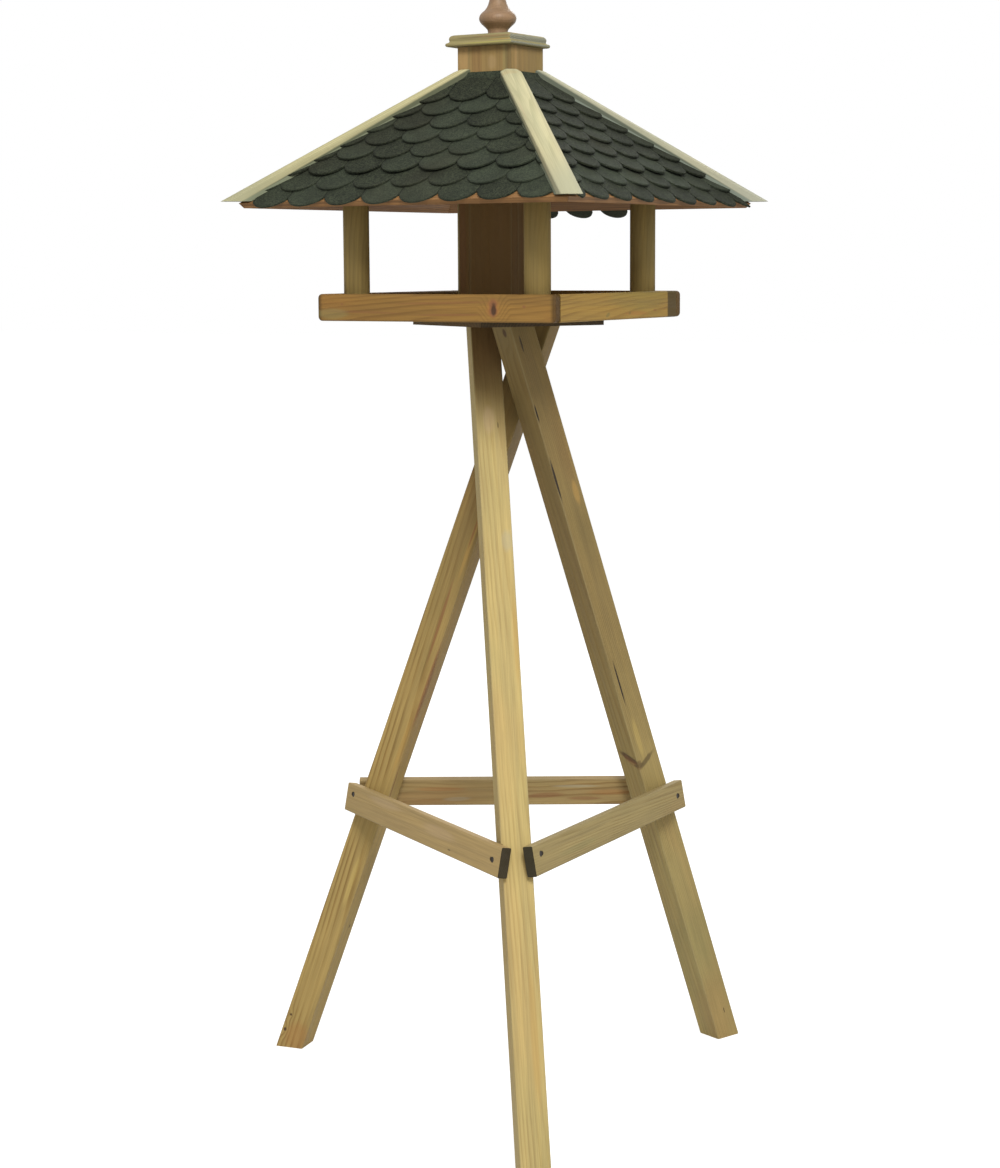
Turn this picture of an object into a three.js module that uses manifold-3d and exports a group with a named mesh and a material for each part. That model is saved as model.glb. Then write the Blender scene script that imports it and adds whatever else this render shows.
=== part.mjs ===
// A garden bird table: a square feeding tray with a seed silo under a shingled pyramid roof,
// carried on a twisted three-legged stand. Units are millimetres, +Z is up, the ground is z = 0.
import * as THREE from "three";
import { mergeVertices } from "three/addons/utils/BufferGeometryUtils.js";
import Module from "manifold-3d";

const wasm = await Module();
wasm.setup();

// Clearances shared by all pieces
const seatGap = 0.3; // left between two pieces that bear on each other
const overrun = 5; // how far a cutting solid runs past what it cuts
const quarterTurn = Math.PI / 2;
const thirdTurn = (2 * Math.PI) / 3;

// Stand: three square bars that lean past one another, tied by three rails
const stand = {
  height: 1201,
  legWidth: 45,
  legArris: 2,
  legReach: 412, // from the stand's axis to a foot, along the leg's own plane
  topReach: 32.3, // from that axis to the leg's top, past it
  legOffset: 41, // how far a leg's plane passes beside the axis
  turn: THREE.MathUtils.degToRad(31.8), // of the whole stand under the house
  shiftX: 13.3, // the house is set a little off the stand's axis
  shiftY: 8.3,
};
const rail = {
  height: 45,
  thickness: 16,
  arris: 2,
  level: 437.5, // its middle above the ground
  bearing: 1.2, // depth of the flat that it has on the leg that stands out less
  endLap: 29.5, // from a leg's middle to its end
  shift: 3.7, // along itself
  skew: THREE.MathUtils.degToRad(0.4), // of the rails' corners, past the legs' middles
  screwInset: 22,
  screwLevels: [7, 0], // above its middle, so that two rails' screws pass in the leg
};

// Mounting plate between the stand and the tray
const plate = { side: 213, thickness: 9, shiftX: 7.1, shiftY: 4.4, screwInset: 20 };

// Tray: a floor inside four rim boards, of which the front and back ones run through
const tray = {
  side: 405,
  rimHeight: 40,
  rimThickness: 15,
  rimArris: 3,
  floorThickness: 12,
  turn: THREE.MathUtils.degToRad(1.7), // it is set a little askew under the posts
  shiftX: 1.3,
  shiftY: 0.8,
};
const post = { diameter: 39, inset: 29.5 }; // inset from the rim's inner face to its axis

// Silo: four boards jointed in a pinwheel, each with a seed slot at its foot
const silo = {
  side: 93,
  board: 18,
  slotWidth: 44,
  slotHeight: 16,
  stub: 51, // how far it stands out of the roof panels
};

// Roof
const roof = {
  eaveSpan: 564, // across the upper edges of two opposite panels
  eaveRise: 133.7, // from the rim's top to those edges
  pitch: THREE.MathUtils.degToRad(37.4),
  panel: 9,
};
const shingle = {
  rowPitch: 34.8,
  tabWidth: 64.6,
  scallop: 22, // depth of a tab's rounded end
  sheet: 2.6, // thickness of one sheet
  layers: 3, // sheets on one another at a tab's lower end
};
// The four faces as they were laid by hand: front, right, back and left
const shingleFaces = [
  { overhang: 10, phaseShare: 0, turn: THREE.MathUtils.degToRad(1.2) },
  { overhang: 10, phaseShare: 0.5, turn: THREE.MathUtils.degToRad(-0.9) },
  { overhang: 6, phaseShare: 0, turn: 0 },
  { overhang: 4, phaseShare: 0.25, turn: THREE.MathUtils.degToRad(0.4) },
];
const lowStrip = { face: 2, tabs: 3, firstTab: -1, overhang: 24 }; // it has slipped down
const batten = {
  width: 32,
  crown: 6.8, // thickness at its middle
  bevelWidth: 6,
  bevelDepth: 4,
  tipReach: 25, // past the corner of the panels
  tipDrop: 4.5, // its level-cut lower end below the panels' upper edges
};

// Lid: a stepped square cap with a plug below it and a turned finial on it
const lid = {
  overhang: 11.7, // past the silo
  lipHeight: 5.3,
  stepInset: 4,
  height: 14.3,
  edgeRadius: 4.8,
  plugPlay: 4.6, // around the plug in the silo
  plugHeight: 15,
  shiftX: -3.2, // it lies loose, a little off the silo's axis
  shiftY: -2,
};
const finial = {
  footRadius: 15.5,
  bellyRadius: 28.4,
  bellyHalfHeight: 17,
  bellyLevel: 28.5,
  neckRadius: 11.8,
  neckLevel: 55.2,
  tipRadius: 15,
  tipHalfHeight: 11,
};

// Countersunk wood screws, each as long as what it passes through and its bite
const screwBites = { rail: 29, leg: 51, plate: 7, post: 38, finial: 18.5 };
const smallScrew = { head: 8, headDepth: 2.6, shank: 4, sink: 0.3 };
const largeScrew = { head: 9, headDepth: 3, shank: 4.8, sink: 0.5 };
const railScrew = { ...largeScrew, length: rail.thickness + screwBites.rail };
const legScrew = { ...largeScrew, length: plate.thickness + screwBites.leg };
const plateScrew = { ...smallScrew, length: tray.floorThickness + screwBites.plate };
const postScrew = { ...smallScrew, length: tray.floorThickness + screwBites.post };
const finialScrew = { ...smallScrew, length: lid.plugHeight + lid.height + screwBites.finial };

// Facets on round work
const arrisSteps = 2;
const postSides = 20;
const turnedSides = 20;
const turnedSteps = 6;
const lidEdgeSteps = 4;
const screwSides = 8;
const scallopSteps = 4;

// Levels worked out from the sizes above
const plateBottom = stand.height + seatGap;
const floorBottom = plateBottom + plate.thickness + seatGap;
const floorTop = floorBottom + tray.floorThickness;
const rimTop = floorBottom + tray.rimHeight;
const siloBottom = floorTop + seatGap;
const eaveHalf = roof.eaveSpan / 2;
const eaveTop = rimTop + roof.eaveRise;
const throatHalf = silo.side / 2 + seatGap; // where the panels meet the silo
const throatTop = eaveTop + (eaveHalf - throatHalf) * Math.tan(roof.pitch);
const slopeLength = (eaveHalf - throatHalf) / Math.cos(roof.pitch);
const lidBottom = throatTop + silo.stub;
const hipSlope = Math.atan(Math.tan(roof.pitch) / Math.SQRT2);
const hipFall = Math.acos(Math.cos(roof.pitch) ** 2) / 2; // of a panel, seen along the hip

// Colours
const finish = (color, roughness, metalness = 0) =>
  new THREE.MeshStandardMaterial({ color, roughness, metalness });
const materials = {
  pine: finish(0xa08a58, 0.8),
  rimPine: finish(0x9a7440, 0.8),
  darkPine: finish(0x4a3a22, 0.85),
  panelPine: finish(0x7a4a2c, 0.85),
  battenPine: finish(0xb9b48c, 0.85),
  turnedPine: finish(0x9a7458, 0.7),
  bitumen: finish(0x464b3e, 0.95),
  screwSteel: finish(0x3a3630, 0.6, 0.7),
};

// Solid and geometry helpers
function solidOf(geometry) {
  const bare = geometry.clone();
  bare.deleteAttribute("normal");
  bare.deleteAttribute("uv");
  const merged = mergeVertices(bare);
  return new wasm.Manifold(
    new wasm.Mesh({
      numProp: 3,
      vertProperties: merged.getAttribute("position").array,
      triVerts: new Uint32Array(merged.index.array),
    }),
  );
}

function geometryOf(solid) {
  const { vertProperties, triVerts } = solid.getMesh();
  const geometry = new THREE.BufferGeometry();
  geometry.setAttribute("position", new THREE.BufferAttribute(vertProperties, 3));
  geometry.setIndex(new THREE.BufferAttribute(triVerts, 1));
  geometry.computeVertexNormals();
  return geometry;
}

function cut(geometry, cutters) {
  let solid = solidOf(geometry);
  for (const cutter of cutters) solid = solid.subtract(solidOf(cutter));
  return geometryOf(solid);
}

function common(geometry, other) {
  return geometryOf(solidOf(geometry).intersect(solidOf(other)));
}

function joined(geometries) {
  let solid = solidOf(geometries[0]);
  for (const geometry of geometries.slice(1)) solid = solid.add(solidOf(geometry));
  return geometryOf(solid);
}

function addMesh(parent, name, geometry, material) {
  const mesh = new THREE.Mesh(geometry, material);
  mesh.name = name;
  parent.add(mesh);
  return mesh;
}

function addGroup(parent, turn = 0) {
  const group = new THREE.Group();
  group.rotation.z = turn;
  parent.add(group);
  return group;
}

// Basic forms
function roundedRectangle(width, height, radius) {
  const x = width / 2 - radius;
  const y = height / 2 - radius;
  const shape = new THREE.Shape();
  shape.moveTo(x + radius, -y);
  shape.absarc(x, y, radius, 0, quarterTurn);
  shape.absarc(-x, y, radius, quarterTurn, 2 * quarterTurn);
  shape.absarc(-x, -y, radius, 2 * quarterTurn, 3 * quarterTurn);
  shape.absarc(x, -y, radius, 3 * quarterTurn, 4 * quarterTurn);
  return shape;
}

function extruded(shape, depth, curveSegments = arrisSteps) {
  return new THREE.ExtrudeGeometry(shape, { depth, curveSegments, bevelEnabled: false });
}

function polygon(points) {
  return new THREE.Shape(points.map(([x, y]) => new THREE.Vector2(x, y)));
}

// A bar along X with rounded long edges, centred on the origin.
function bar(length, depth, height, arris) {
  const geometry = extruded(roundedRectangle(height, depth, arris), length);
  return geometry.translate(0, 0, -length / 2).rotateY(quarterTurn);
}

function box(sizeX, sizeY, sizeZ) {
  return new THREE.BoxGeometry(sizeX, sizeY, sizeZ);
}

// A lathe turning about Z, from [radius, level] points that rise from the axis back to the axis.
function turned(points, sides, start = 0) {
  const profile = points.map(([radius, level]) => new THREE.Vector2(radius, level));
  return new THREE.LatheGeometry(profile, sides, start).rotateX(quarterTurn);
}

// A square turning: the same, but with four flat sides at [half width, level].
function squareTurned(points) {
  const corners = points.map(([half, level]) => [half * Math.SQRT2, level]);
  return turned(corners, 4, quarterTurn / 2);
}

// A countersunk screw with its head's face on the plane z = 0 and its tip below.
function screwForm({ head, headDepth, shank, length }) {
  const points = [
    [0, -length],
    [shank / 2, -length + shank],
    [shank / 2, -headDepth],
    [head / 2, 0],
    [0, 0],
  ];
  return turned(points, screwSides);
}

// The hole for that screw, open above its head.
function screwHole({ head, headDepth, shank, length, sink }) {
  const points = [
    [0, -length - seatGap],
    [shank / 2 + seatGap, -length - seatGap],
    [shank / 2 + seatGap, -headDepth],
    [head / 2 + seatGap, 0],
    [head / 2 + seatGap, sink + overrun],
    [0, sink + overrun],
  ];
  return turned(points, screwSides);
}

// The stand, in a frame whose -Y side faces the first rail corner.
const legTan = (stand.legReach + stand.topReach) / stand.height; // of a leg's lean
const legDepth = stand.legWidth * Math.hypot(1, legTan); // of its level section

function legY(level) {
  return -stand.legReach + level * legTan;
}

// From a rail corner to a leg's plane
const legTurn = Math.atan2(stand.legOffset, -legY(rail.level)) - rail.skew;

// The rail between a leg and the next one bears on both, and leans as they do on average.
const railOutward = new THREE.Vector2(0, -1).rotateAround(new THREE.Vector2(), thirdTurn / 2);
const railLegs = [0, 1].map((sector) => {
  const angle = legTurn + sector * thirdTurn;
  const sideways = new THREE.Vector2(Math.cos(angle), Math.sin(angle));
  const inward = new THREE.Vector2(-Math.sin(angle), Math.cos(angle));
  const place = sideways.clone().multiplyScalar(-stand.legOffset);
  place.addScaledVector(inward, legY(rail.level));
  const reach =
    (stand.legWidth * Math.abs(sideways.dot(railOutward)) +
      legDepth * Math.abs(inward.dot(railOutward))) /
    2;
  return { place, face: place.dot(railOutward) + reach, lean: -inward.dot(railOutward) };
});
const railInner = Math.min(...railLegs.map((leg) => leg.face)) - rail.bearing;
const railTilt = Math.atan((legTan * (railLegs[0].lean + railLegs[1].lean)) / 2);
const railLength = railLegs[0].place.distanceTo(railLegs[1].place) + 2 * rail.endLap;

// From a rail's own frame, with its outer face on y = 0, to the stand's frame.
function railMatrix(sector) {
  const outer = railInner + rail.thickness / Math.cos(railTilt);
  return new THREE.Matrix4()
    .makeRotationZ(thirdTurn / 2 + sector * thirdTurn)
    .multiply(new THREE.Matrix4().makeTranslation(rail.shift, -outer, rail.level))
    .multiply(new THREE.Matrix4().makeRotationX(-railTilt));
}

// Along the rail and above its middle
function railScrewPlaces() {
  const reach = railLength / 2 - rail.screwInset;
  return rail.screwLevels.map((level, end) => [end ? reach : -reach, level]);
}

function railGeometry() {
  const board = bar(railLength, rail.thickness, rail.height, rail.arris);
  board.translate(0, rail.thickness / 2, 0);
  const holes = railScrewPlaces().map(([x, z]) =>
    screwHole(railScrew).rotateX(quarterTurn).translate(x, railScrew.sink, z),
  );
  return cut(board, holes);
}

function legGeometry() {
  const section = roundedRectangle(stand.legWidth, legDepth, stand.legArris);
  const leg = extruded(section, stand.height);
  leg.applyMatrix4(new THREE.Matrix4().makeShear(0, 0, 0, 0, 0, legTan));
  leg.translate(-stand.legOffset, legY(0), 0);
  const screw = screwHole(legScrew);
  screw.translate(...legScrewPlace());
  leg.rotateZ(legTurn);
  screw.rotateZ(legTurn);
  const cutters = [screw];
  for (const sector of [0, -1]) {
    const matrix = railMatrix(sector);
    const seat = box(railLength, rail.thickness + 2 * seatGap, rail.height + 2 * seatGap);
    seat.translate(0, rail.thickness / 2, 0).applyMatrix4(matrix);
    cutters.push(seat);
    for (const [x, z] of railScrewPlaces()) {
      const hole = screwHole(railScrew).rotateX(quarterTurn).translate(x, railScrew.sink, z);
      cutters.push(hole.applyMatrix4(matrix));
    }
  }
  return cut(leg, cutters);
}

// Where a leg's screw head lies: on the plate's top, over the middle of what it grips.
function legScrewPlace() {
  const top = plateBottom + plate.thickness;
  return [-stand.legOffset, legY(stand.height - legScrew.length / 2), top - legScrew.sink];
}

function buildStand(parent) {
  const group = addGroup(parent, stand.turn);
  group.position.set(stand.shiftX, stand.shiftY, 0);
  const leg = legGeometry();
  const board = railGeometry();
  const sides = ["front", "right", "left"];
  const railSides = ["right", "back", "left"];
  sides.forEach((side, sector) => {
    const third = addGroup(group, sector * thirdTurn);
    addMesh(third, `leg_${side}`, leg, materials.pine);
    const legScrewGroup = addGroup(third, legTurn);
    const screw = addMesh(
      legScrewGroup,
      `leg_screw_${side}`,
      screwForm(legScrew),
      materials.screwSteel,
    );
    screw.position.set(...legScrewPlace());
    const railGroup = new THREE.Group();
    railGroup.applyMatrix4(railMatrix(0));
    third.add(railGroup);
    addMesh(railGroup, `rail_${railSides[sector]}`, board, materials.pine);
    railScrewPlaces().forEach(([x, z], end) => {
      const name = `rail_${railSides[sector]}_screw_${end + 1}`;
      const fixing = addMesh(railGroup, name, screwForm(railScrew), materials.screwSteel);
      fixing.rotation.x = quarterTurn;
      fixing.position.set(x, railScrew.sink, z);
    });
  });
}

// The mounting plate lies square to one rail.
const plateTurn = stand.turn - thirdTurn / 2;

function platePlaces() {
  const reach = plate.side / 2 - plate.screwInset;
  const corners = [
    [reach, reach],
    [-reach, reach],
    [-reach, -reach],
    [reach, -reach],
  ];
  return corners.map(([x, y]) => {
    const place = new THREE.Vector2(x, y).rotateAround(new THREE.Vector2(), plateTurn);
    return [place.x + plate.shiftX, place.y + plate.shiftY];
  });
}

function plateScrewHoles() {
  return platePlaces().map(([x, y]) =>
    screwHole(plateScrew).translate(x, y, floorTop - plateScrew.sink),
  );
}

function buildPlate(parent) {
  const board = box(plate.side, plate.side, plate.thickness).rotateZ(plateTurn);
  board.translate(plate.shiftX, plate.shiftY, plateBottom + plate.thickness / 2);
  const holes = plateScrewHoles();
  for (let sector = 0; sector < 3; sector += 1) {
    const hole = screwHole(legScrew).translate(...legScrewPlace());
    hole.rotateZ(legTurn + stand.turn + sector * thirdTurn);
    holes.push(hole.translate(stand.shiftX, stand.shiftY, 0));
  }
  addMesh(parent, "mounting_plate", cut(board, holes), materials.darkPine);
  platePlaces().forEach(([x, y], i) => {
    const name = `plate_screw_${i + 1}`;
    const screw = addMesh(parent, name, screwForm(plateScrew), materials.screwSteel);
    screw.position.set(x, y, floorTop - plateScrew.sink);
  });
}

// Tray: the floor and its rim
function postPlaces() {
  const reach = tray.side / 2 - tray.rimThickness - post.inset;
  return [
    [reach, -reach],
    [reach, reach],
    [-reach, reach],
    [-reach, -reach],
  ];
}

function buildTray(parent) {
  const inner = tray.side - 2 * tray.rimThickness - 2 * seatGap;
  const floor = box(inner, inner, tray.floorThickness).rotateZ(tray.turn);
  floor.translate(tray.shiftX, tray.shiftY, floorBottom + tray.floorThickness / 2);
  const postHoles = postPlaces().map(([x, y]) =>
    screwHole(postScrew).rotateX(2 * quarterTurn).translate(x, y, floorBottom + postScrew.sink),
  );
  const holes = [...plateScrewHoles(), ...postHoles];
  addMesh(parent, "tray_floor", cut(floor, holes), materials.rimPine);
  const long = bar(tray.side, tray.rimThickness, tray.rimHeight, tray.rimArris);
  const short = bar(inner, tray.rimThickness, tray.rimHeight, tray.rimArris);
  short.rotateZ(quarterTurn);
  const reach = (tray.side - tray.rimThickness) / 2;
  const rim = addGroup(parent, tray.turn);
  rim.position.set(tray.shiftX, tray.shiftY, floorBottom + tray.rimHeight / 2);
  addMesh(rim, "rim_front", long, materials.rimPine).position.y = -reach;
  addMesh(rim, "rim_back", long, materials.rimPine).position.y = reach;
  addMesh(rim, "rim_right", short, materials.rimPine).position.x = reach;
  addMesh(rim, "rim_left", short, materials.rimPine).position.x = -reach;
}

// A block that fills the space above the undersides of the panel on the -Y side.
function aboveRoofPanel() {
  const reach = 2 * roof.eaveSpan;
  const block = box(reach, reach, reach).translate(0, 0, reach / 2);
  block.translate(0, 0, -roof.panel - seatGap).rotateX(roof.pitch);
  return block.translate(0, -eaveHalf, eaveTop);
}

function buildPosts(parent) {
  const [x, y] = postPlaces()[0];
  const height = eaveTop + eaveHalf - siloBottom;
  const shaft = new THREE.CylinderGeometry(
    post.diameter / 2,
    post.diameter / 2,
    height,
    postSides,
  );
  shaft.rotateX(quarterTurn).translate(x, y, siloBottom + height / 2);
  const hole = screwHole(postScrew).rotateX(2 * quarterTurn);
  hole.translate(x, y, floorBottom + postScrew.sink);
  const cutters = [hole, aboveRoofPanel(), aboveRoofPanel().rotateZ(quarterTurn)];
  const geometry = cut(shaft, cutters);
  const names = ["front_right", "back_right", "back_left", "front_left"];
  names.forEach((name, i) => {
    const corner = addGroup(parent, i * quarterTurn);
    addMesh(corner, `post_${name}`, geometry, materials.pine);
    const screw = addMesh(
      corner,
      `post_screw_${name}`,
      screwForm(postScrew),
      materials.screwSteel,
    );
    screw.rotation.x = 2 * quarterTurn;
    screw.position.set(x, y, floorBottom + postScrew.sink);
  });
}

// Silo board on the -Y side, from its neighbour's face to the far corner, notched at its foot.
function siloBoardGeometry() {
  const start = -silo.side / 2 + silo.board + seatGap;
  const end = silo.side / 2;
  const height = lidBottom - seatGap - siloBottom;
  const slot = silo.slotWidth / 2;
  const outline = polygon([
    [start, 0],
    [-slot, 0],
    [-slot, silo.slotHeight],
    [slot, silo.slotHeight],
    [slot, 0],
    [end, 0],
    [end, height],
    [start, height],
  ]);
  const board = extruded(outline, silo.board).rotateX(quarterTurn);
  return board.translate(0, -end + silo.board, siloBottom);
}

const sideNames = ["front", "right", "back", "left"];

function buildSilo(parent) {
  const board = siloBoardGeometry();
  sideNames.forEach((side, i) => {
    addMesh(addGroup(parent, i * quarterTurn), `silo_board_${side}`, board, materials.darkPine);
  });
}

// Roof panel on the -Y side: a mitred slab with a square-cut eave and a plumb upper edge.
function panelGeometry() {
  const sideGap = seatGap / Math.SQRT2;
  const lowerHalf = eaveHalf - roof.panel * Math.sin(roof.pitch);
  const section = [
    [eaveHalf, eaveTop],
    [throatHalf, throatTop],
    [throatHalf, throatTop - roof.panel / Math.cos(roof.pitch)],
    [lowerHalf, eaveTop - roof.panel * Math.cos(roof.pitch)],
  ];
  const points = [];
  for (const side of [-1, 1]) {
    for (const [half, z] of section) points.push(side * (half - sideGap), -half, z);
  }
  const faces = [0, 1, 2, 0, 2, 3, 4, 6, 5, 4, 7, 6];
  for (let i = 0; i < 4; i += 1) {
    const j = (i + 1) % 4;
    faces.push(i, i + 4, j, j, i + 4, j + 4);
  }
  const geometry = new THREE.BufferGeometry();
  geometry.setAttribute("position", new THREE.Float32BufferAttribute(points, 3));
  geometry.setIndex(faces);
  geometry.computeVertexNormals();
  return geometry;
}

// A strip of tabs in the panel's plane, x along the eave and y up the slope.
function tabStrip(start, tabs, foot, top, thickness) {
  const half = shingle.tabWidth / 2;
  const radius = (half ** 2 + shingle.scallop ** 2) / (2 * shingle.scallop);
  const spread = Math.asin(half / radius);
  const shape = new THREE.Shape();
  shape.moveTo(start, foot + shingle.scallop);
  for (let tab = 0; tab < tabs; tab += 1) {
    const middle = start + (tab + 1 / 2) * shingle.tabWidth;
    shape.absarc(middle, foot + radius, radius, -quarterTurn - spread, spread - quarterTurn);
  }
  shape.lineTo(start + tabs * shingle.tabWidth, top);
  shape.lineTo(start, top);
  return extruded(shape, thickness, scallopSteps);
}

// One row across a face. From the third row on it lies on two sheets, and it thins upwards until
// it is level with them under the next row.
function shingleRow(row, rows, face) {
  const foot = row * shingle.rowPitch - face.overhang;
  const last = row === rows - 1;
  const layers = Math.min(row + 1, shingle.layers);
  const covered = foot + shingle.scallop + shingle.rowPitch + shingle.sheet;
  const top = last ? slopeLength + shingle.rowPitch : covered;
  const tabs = 2 * Math.ceil(eaveHalf / shingle.tabWidth) + 4;
  const start = -(tabs / 2 + face.phaseShare + (row % 2) / 2) * shingle.tabWidth;
  const geometry = tabStrip(start, tabs, foot, top, layers * shingle.sheet);
  const position = geometry.getAttribute("position");
  const thins = layers === shingle.layers && !last;
  for (let i = 0; thins && i < position.count; i += 1) {
    if (position.getZ(i) > 0) {
      const thinned = (position.getY(i) - foot) / shingle.rowPitch;
      position.setZ(i, (layers - thinned) * shingle.sheet);
    }
  }
  return geometry.rotateZ(face.turn);
}

// All rows of a face. It is trimmed along the hips, and straight down from the first row's shoulders.
function shingleFieldGeometry(face) {
  const halfAt = (y) => eaveHalf - seatGap - y * Math.cos(roof.pitch);
  const thickness = shingle.layers * shingle.sheet;
  const shoulder = shingle.scallop - face.overhang;
  const sheetsFoot = shoulder + (3 / 2) * shingle.rowPitch;
  const sheets = polygon([
    [-eaveHalf, sheetsFoot],
    [eaveHalf, sheetsFoot],
    [eaveHalf, slopeLength],
    [-eaveHalf, slopeLength],
  ]);
  const rows = Math.floor((slopeLength + face.overhang) / shingle.rowPitch);
  const solids = [extruded(sheets, thickness - shingle.sheet)];
  for (let row = 0; row < rows; row += 1) solids.push(shingleRow(row, rows, face));
  if (face === shingleFaces[lowStrip.face]) {
    const start = lowStrip.firstTab * shingle.tabWidth;
    const foot = -lowStrip.overhang;
    solids.push(tabStrip(start, lowStrip.tabs, foot, shingle.rowPitch, shingle.sheet));
  }
  const lowest = -Math.max(face.overhang, lowStrip.overhang) - shingle.scallop;
  const trimmed = shoulder + eaveHalf * Math.abs(Math.sin(face.turn));
  const outline = polygon([
    [-halfAt(trimmed), lowest],
    [halfAt(trimmed), lowest],
    [halfAt(trimmed), trimmed],
    [halfAt(slopeLength), slopeLength],
    [-halfAt(slopeLength), slopeLength],
    [-halfAt(trimmed), trimmed],
  ]);
  const window = extruded(outline, thickness + 2 * overrun);
  return common(joined(solids), window.translate(0, 0, -overrun));
}

// Hip batten over the corner between the front and right panels.
function battenGeometry() {
  const half = batten.width / 2;
  const lift = (shingle.layers * shingle.sheet + 2 * seatGap) / Math.cos(hipFall);
  const rise = lift + batten.crown;
  const bottom = (x) => lift - x * Math.tan(hipFall);
  const section = polygon([
    [0, bottom(0)],
    [half, bottom(half)],
    [half, rise - batten.bevelDepth],
    [half - batten.bevelWidth, rise],
    [batten.bevelWidth - half, rise],
    [-half, rise - batten.bevelDepth],
    [-half, bottom(half)],
  ]);
  const corner = eaveHalf * Math.SQRT2;
  const tipRadius = corner + batten.tipReach;
  const length = (tipRadius + overrun) / Math.cos(hipSlope);
  const outward = new THREE.Vector3(1, -1, 0).normalize();
  const up = new THREE.Vector3(0, 0, 1);
  const down = outward.clone().multiplyScalar(Math.cos(hipSlope));
  down.addScaledVector(up, -Math.sin(hipSlope));
  const normal = outward.clone().multiplyScalar(Math.sin(hipSlope));
  normal.addScaledVector(up, Math.cos(hipSlope));
  const across = new THREE.Vector3().crossVectors(normal, down);
  const matrix = new THREE.Matrix4().makeBasis(across, normal, down);
  matrix.setPosition(0, 0, eaveTop + corner * Math.tan(hipSlope));
  const stick = extruded(section, length).applyMatrix4(matrix);
  const start = throatHalf * Math.SQRT2;
  const trimBottom = eaveTop - batten.tipDrop;
  const trimHeight = roof.eaveSpan;
  const trim = box(tipRadius - start, 2 * batten.width, trimHeight);
  trim.translate((tipRadius + start) / 2, 0, trimBottom + trimHeight / 2);
  return common(stick, trim.rotateZ(-quarterTurn / 2));
}

function buildRoof(parent) {
  const panel = panelGeometry();
  const stick = battenGeometry();
  const hipNames = ["front_right", "back_right", "back_left", "front_left"];
  sideNames.forEach((side, i) => {
    const face = addGroup(parent, i * quarterTurn);
    addMesh(face, `roof_panel_${side}`, panel, materials.panelPine);
    const field = shingleFieldGeometry(shingleFaces[i]);
    const shingles = addMesh(face, `shingles_${side}`, field, materials.bitumen);
    shingles.rotation.x = roof.pitch;
    shingles.position.set(
      0,
      -eaveHalf - seatGap * Math.sin(roof.pitch),
      eaveTop + seatGap * Math.cos(roof.pitch),
    );
    addMesh(face, `hip_batten_${hipNames[i]}`, stick, materials.battenPine);
  });
}

// Lid, plug, finial and the screw that holds them together, in the lid's frame
function finialProfile() {
  const bellyAngle = Math.acos(finial.footRadius / finial.bellyRadius);
  const tipAngle = Math.acos(finial.neckRadius / finial.tipRadius);
  const tipLevel = finial.neckLevel + finial.tipHalfHeight * Math.sin(tipAngle);
  const path = new THREE.Path();
  path.moveTo(0, 0);
  path.lineTo(finial.footRadius, 0);
  path.absellipse(
    0,
    finial.bellyLevel,
    finial.bellyRadius,
    finial.bellyHalfHeight,
    -bellyAngle,
    bellyAngle,
  );
  path.absellipse(0, tipLevel, finial.tipRadius, finial.tipHalfHeight, -tipAngle, quarterTurn);
  const points = path.getPoints(turnedSteps).map((point) => [point.x, point.y]);
  points[points.length - 1][0] = 0;
  return points;
}

function buildLid(parent) {
  const group = addGroup(parent);
  group.position.set(lid.shiftX, lid.shiftY, lidBottom);
  const half = silo.side / 2 + lid.overhang;
  const stepHalf = half - lid.stepInset;
  const profile = [
    [0, 0],
    [half, 0],
    [half, lid.lipHeight],
    [stepHalf, lid.lipHeight],
  ];
  for (let i = 0; i <= lidEdgeSteps; i += 1) {
    const angle = (quarterTurn * i) / lidEdgeSteps;
    profile.push([
      stepHalf - lid.edgeRadius * (1 - Math.cos(angle)),
      lid.height - lid.edgeRadius * (1 - Math.sin(angle)),
    ]);
  }
  profile.push([0, lid.height]);
  const plugBottom = -seatGap - lid.plugHeight;
  const hole = () => {
    const form = screwHole(finialScrew).rotateX(2 * quarterTurn);
    return form.translate(0, 0, plugBottom + finialScrew.sink);
  };
  addMesh(group, "lid", cut(squareTurned(profile), [hole()]), materials.rimPine);
  const plugSide = silo.side - 2 * silo.board - 2 * lid.plugPlay;
  const plug = box(plugSide, plugSide, lid.plugHeight);
  plug.translate(0, 0, plugBottom + lid.plugHeight / 2);
  addMesh(group, "lid_plug", cut(plug, [hole()]), materials.pine);
  const knob = turned(finialProfile(), turnedSides).translate(0, 0, lid.height + seatGap);
  addMesh(group, "finial", cut(knob, [hole()]), materials.turnedPine);
  const screw = addMesh(group, "finial_screw", screwForm(finialScrew), materials.screwSteel);
  screw.rotation.x = 2 * quarterTurn;
  screw.position.z = plugBottom + finialScrew.sink;
}

// The whole table, with the middle of its outline over the origin
const birdTable = new THREE.Group();
const whole = addGroup(birdTable);
buildStand(whole);
buildPlate(whole);
buildTray(whole);
buildPosts(whole);
buildSilo(whole);
buildRoof(whole);
buildLid(whole);

const middle = new THREE.Box3().setFromObject(whole, true).getCenter(new THREE.Vector3());
whole.position.set(-middle.x, -middle.y, 0);

export default birdTable;
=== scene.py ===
"""The looks of a garden bird table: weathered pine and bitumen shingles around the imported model."""
import math
import random
from collections import namedtuple

import bmesh
import bpy
from mathutils import Matrix, Vector
from mathutils.bvhtree import BVHTree


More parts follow.
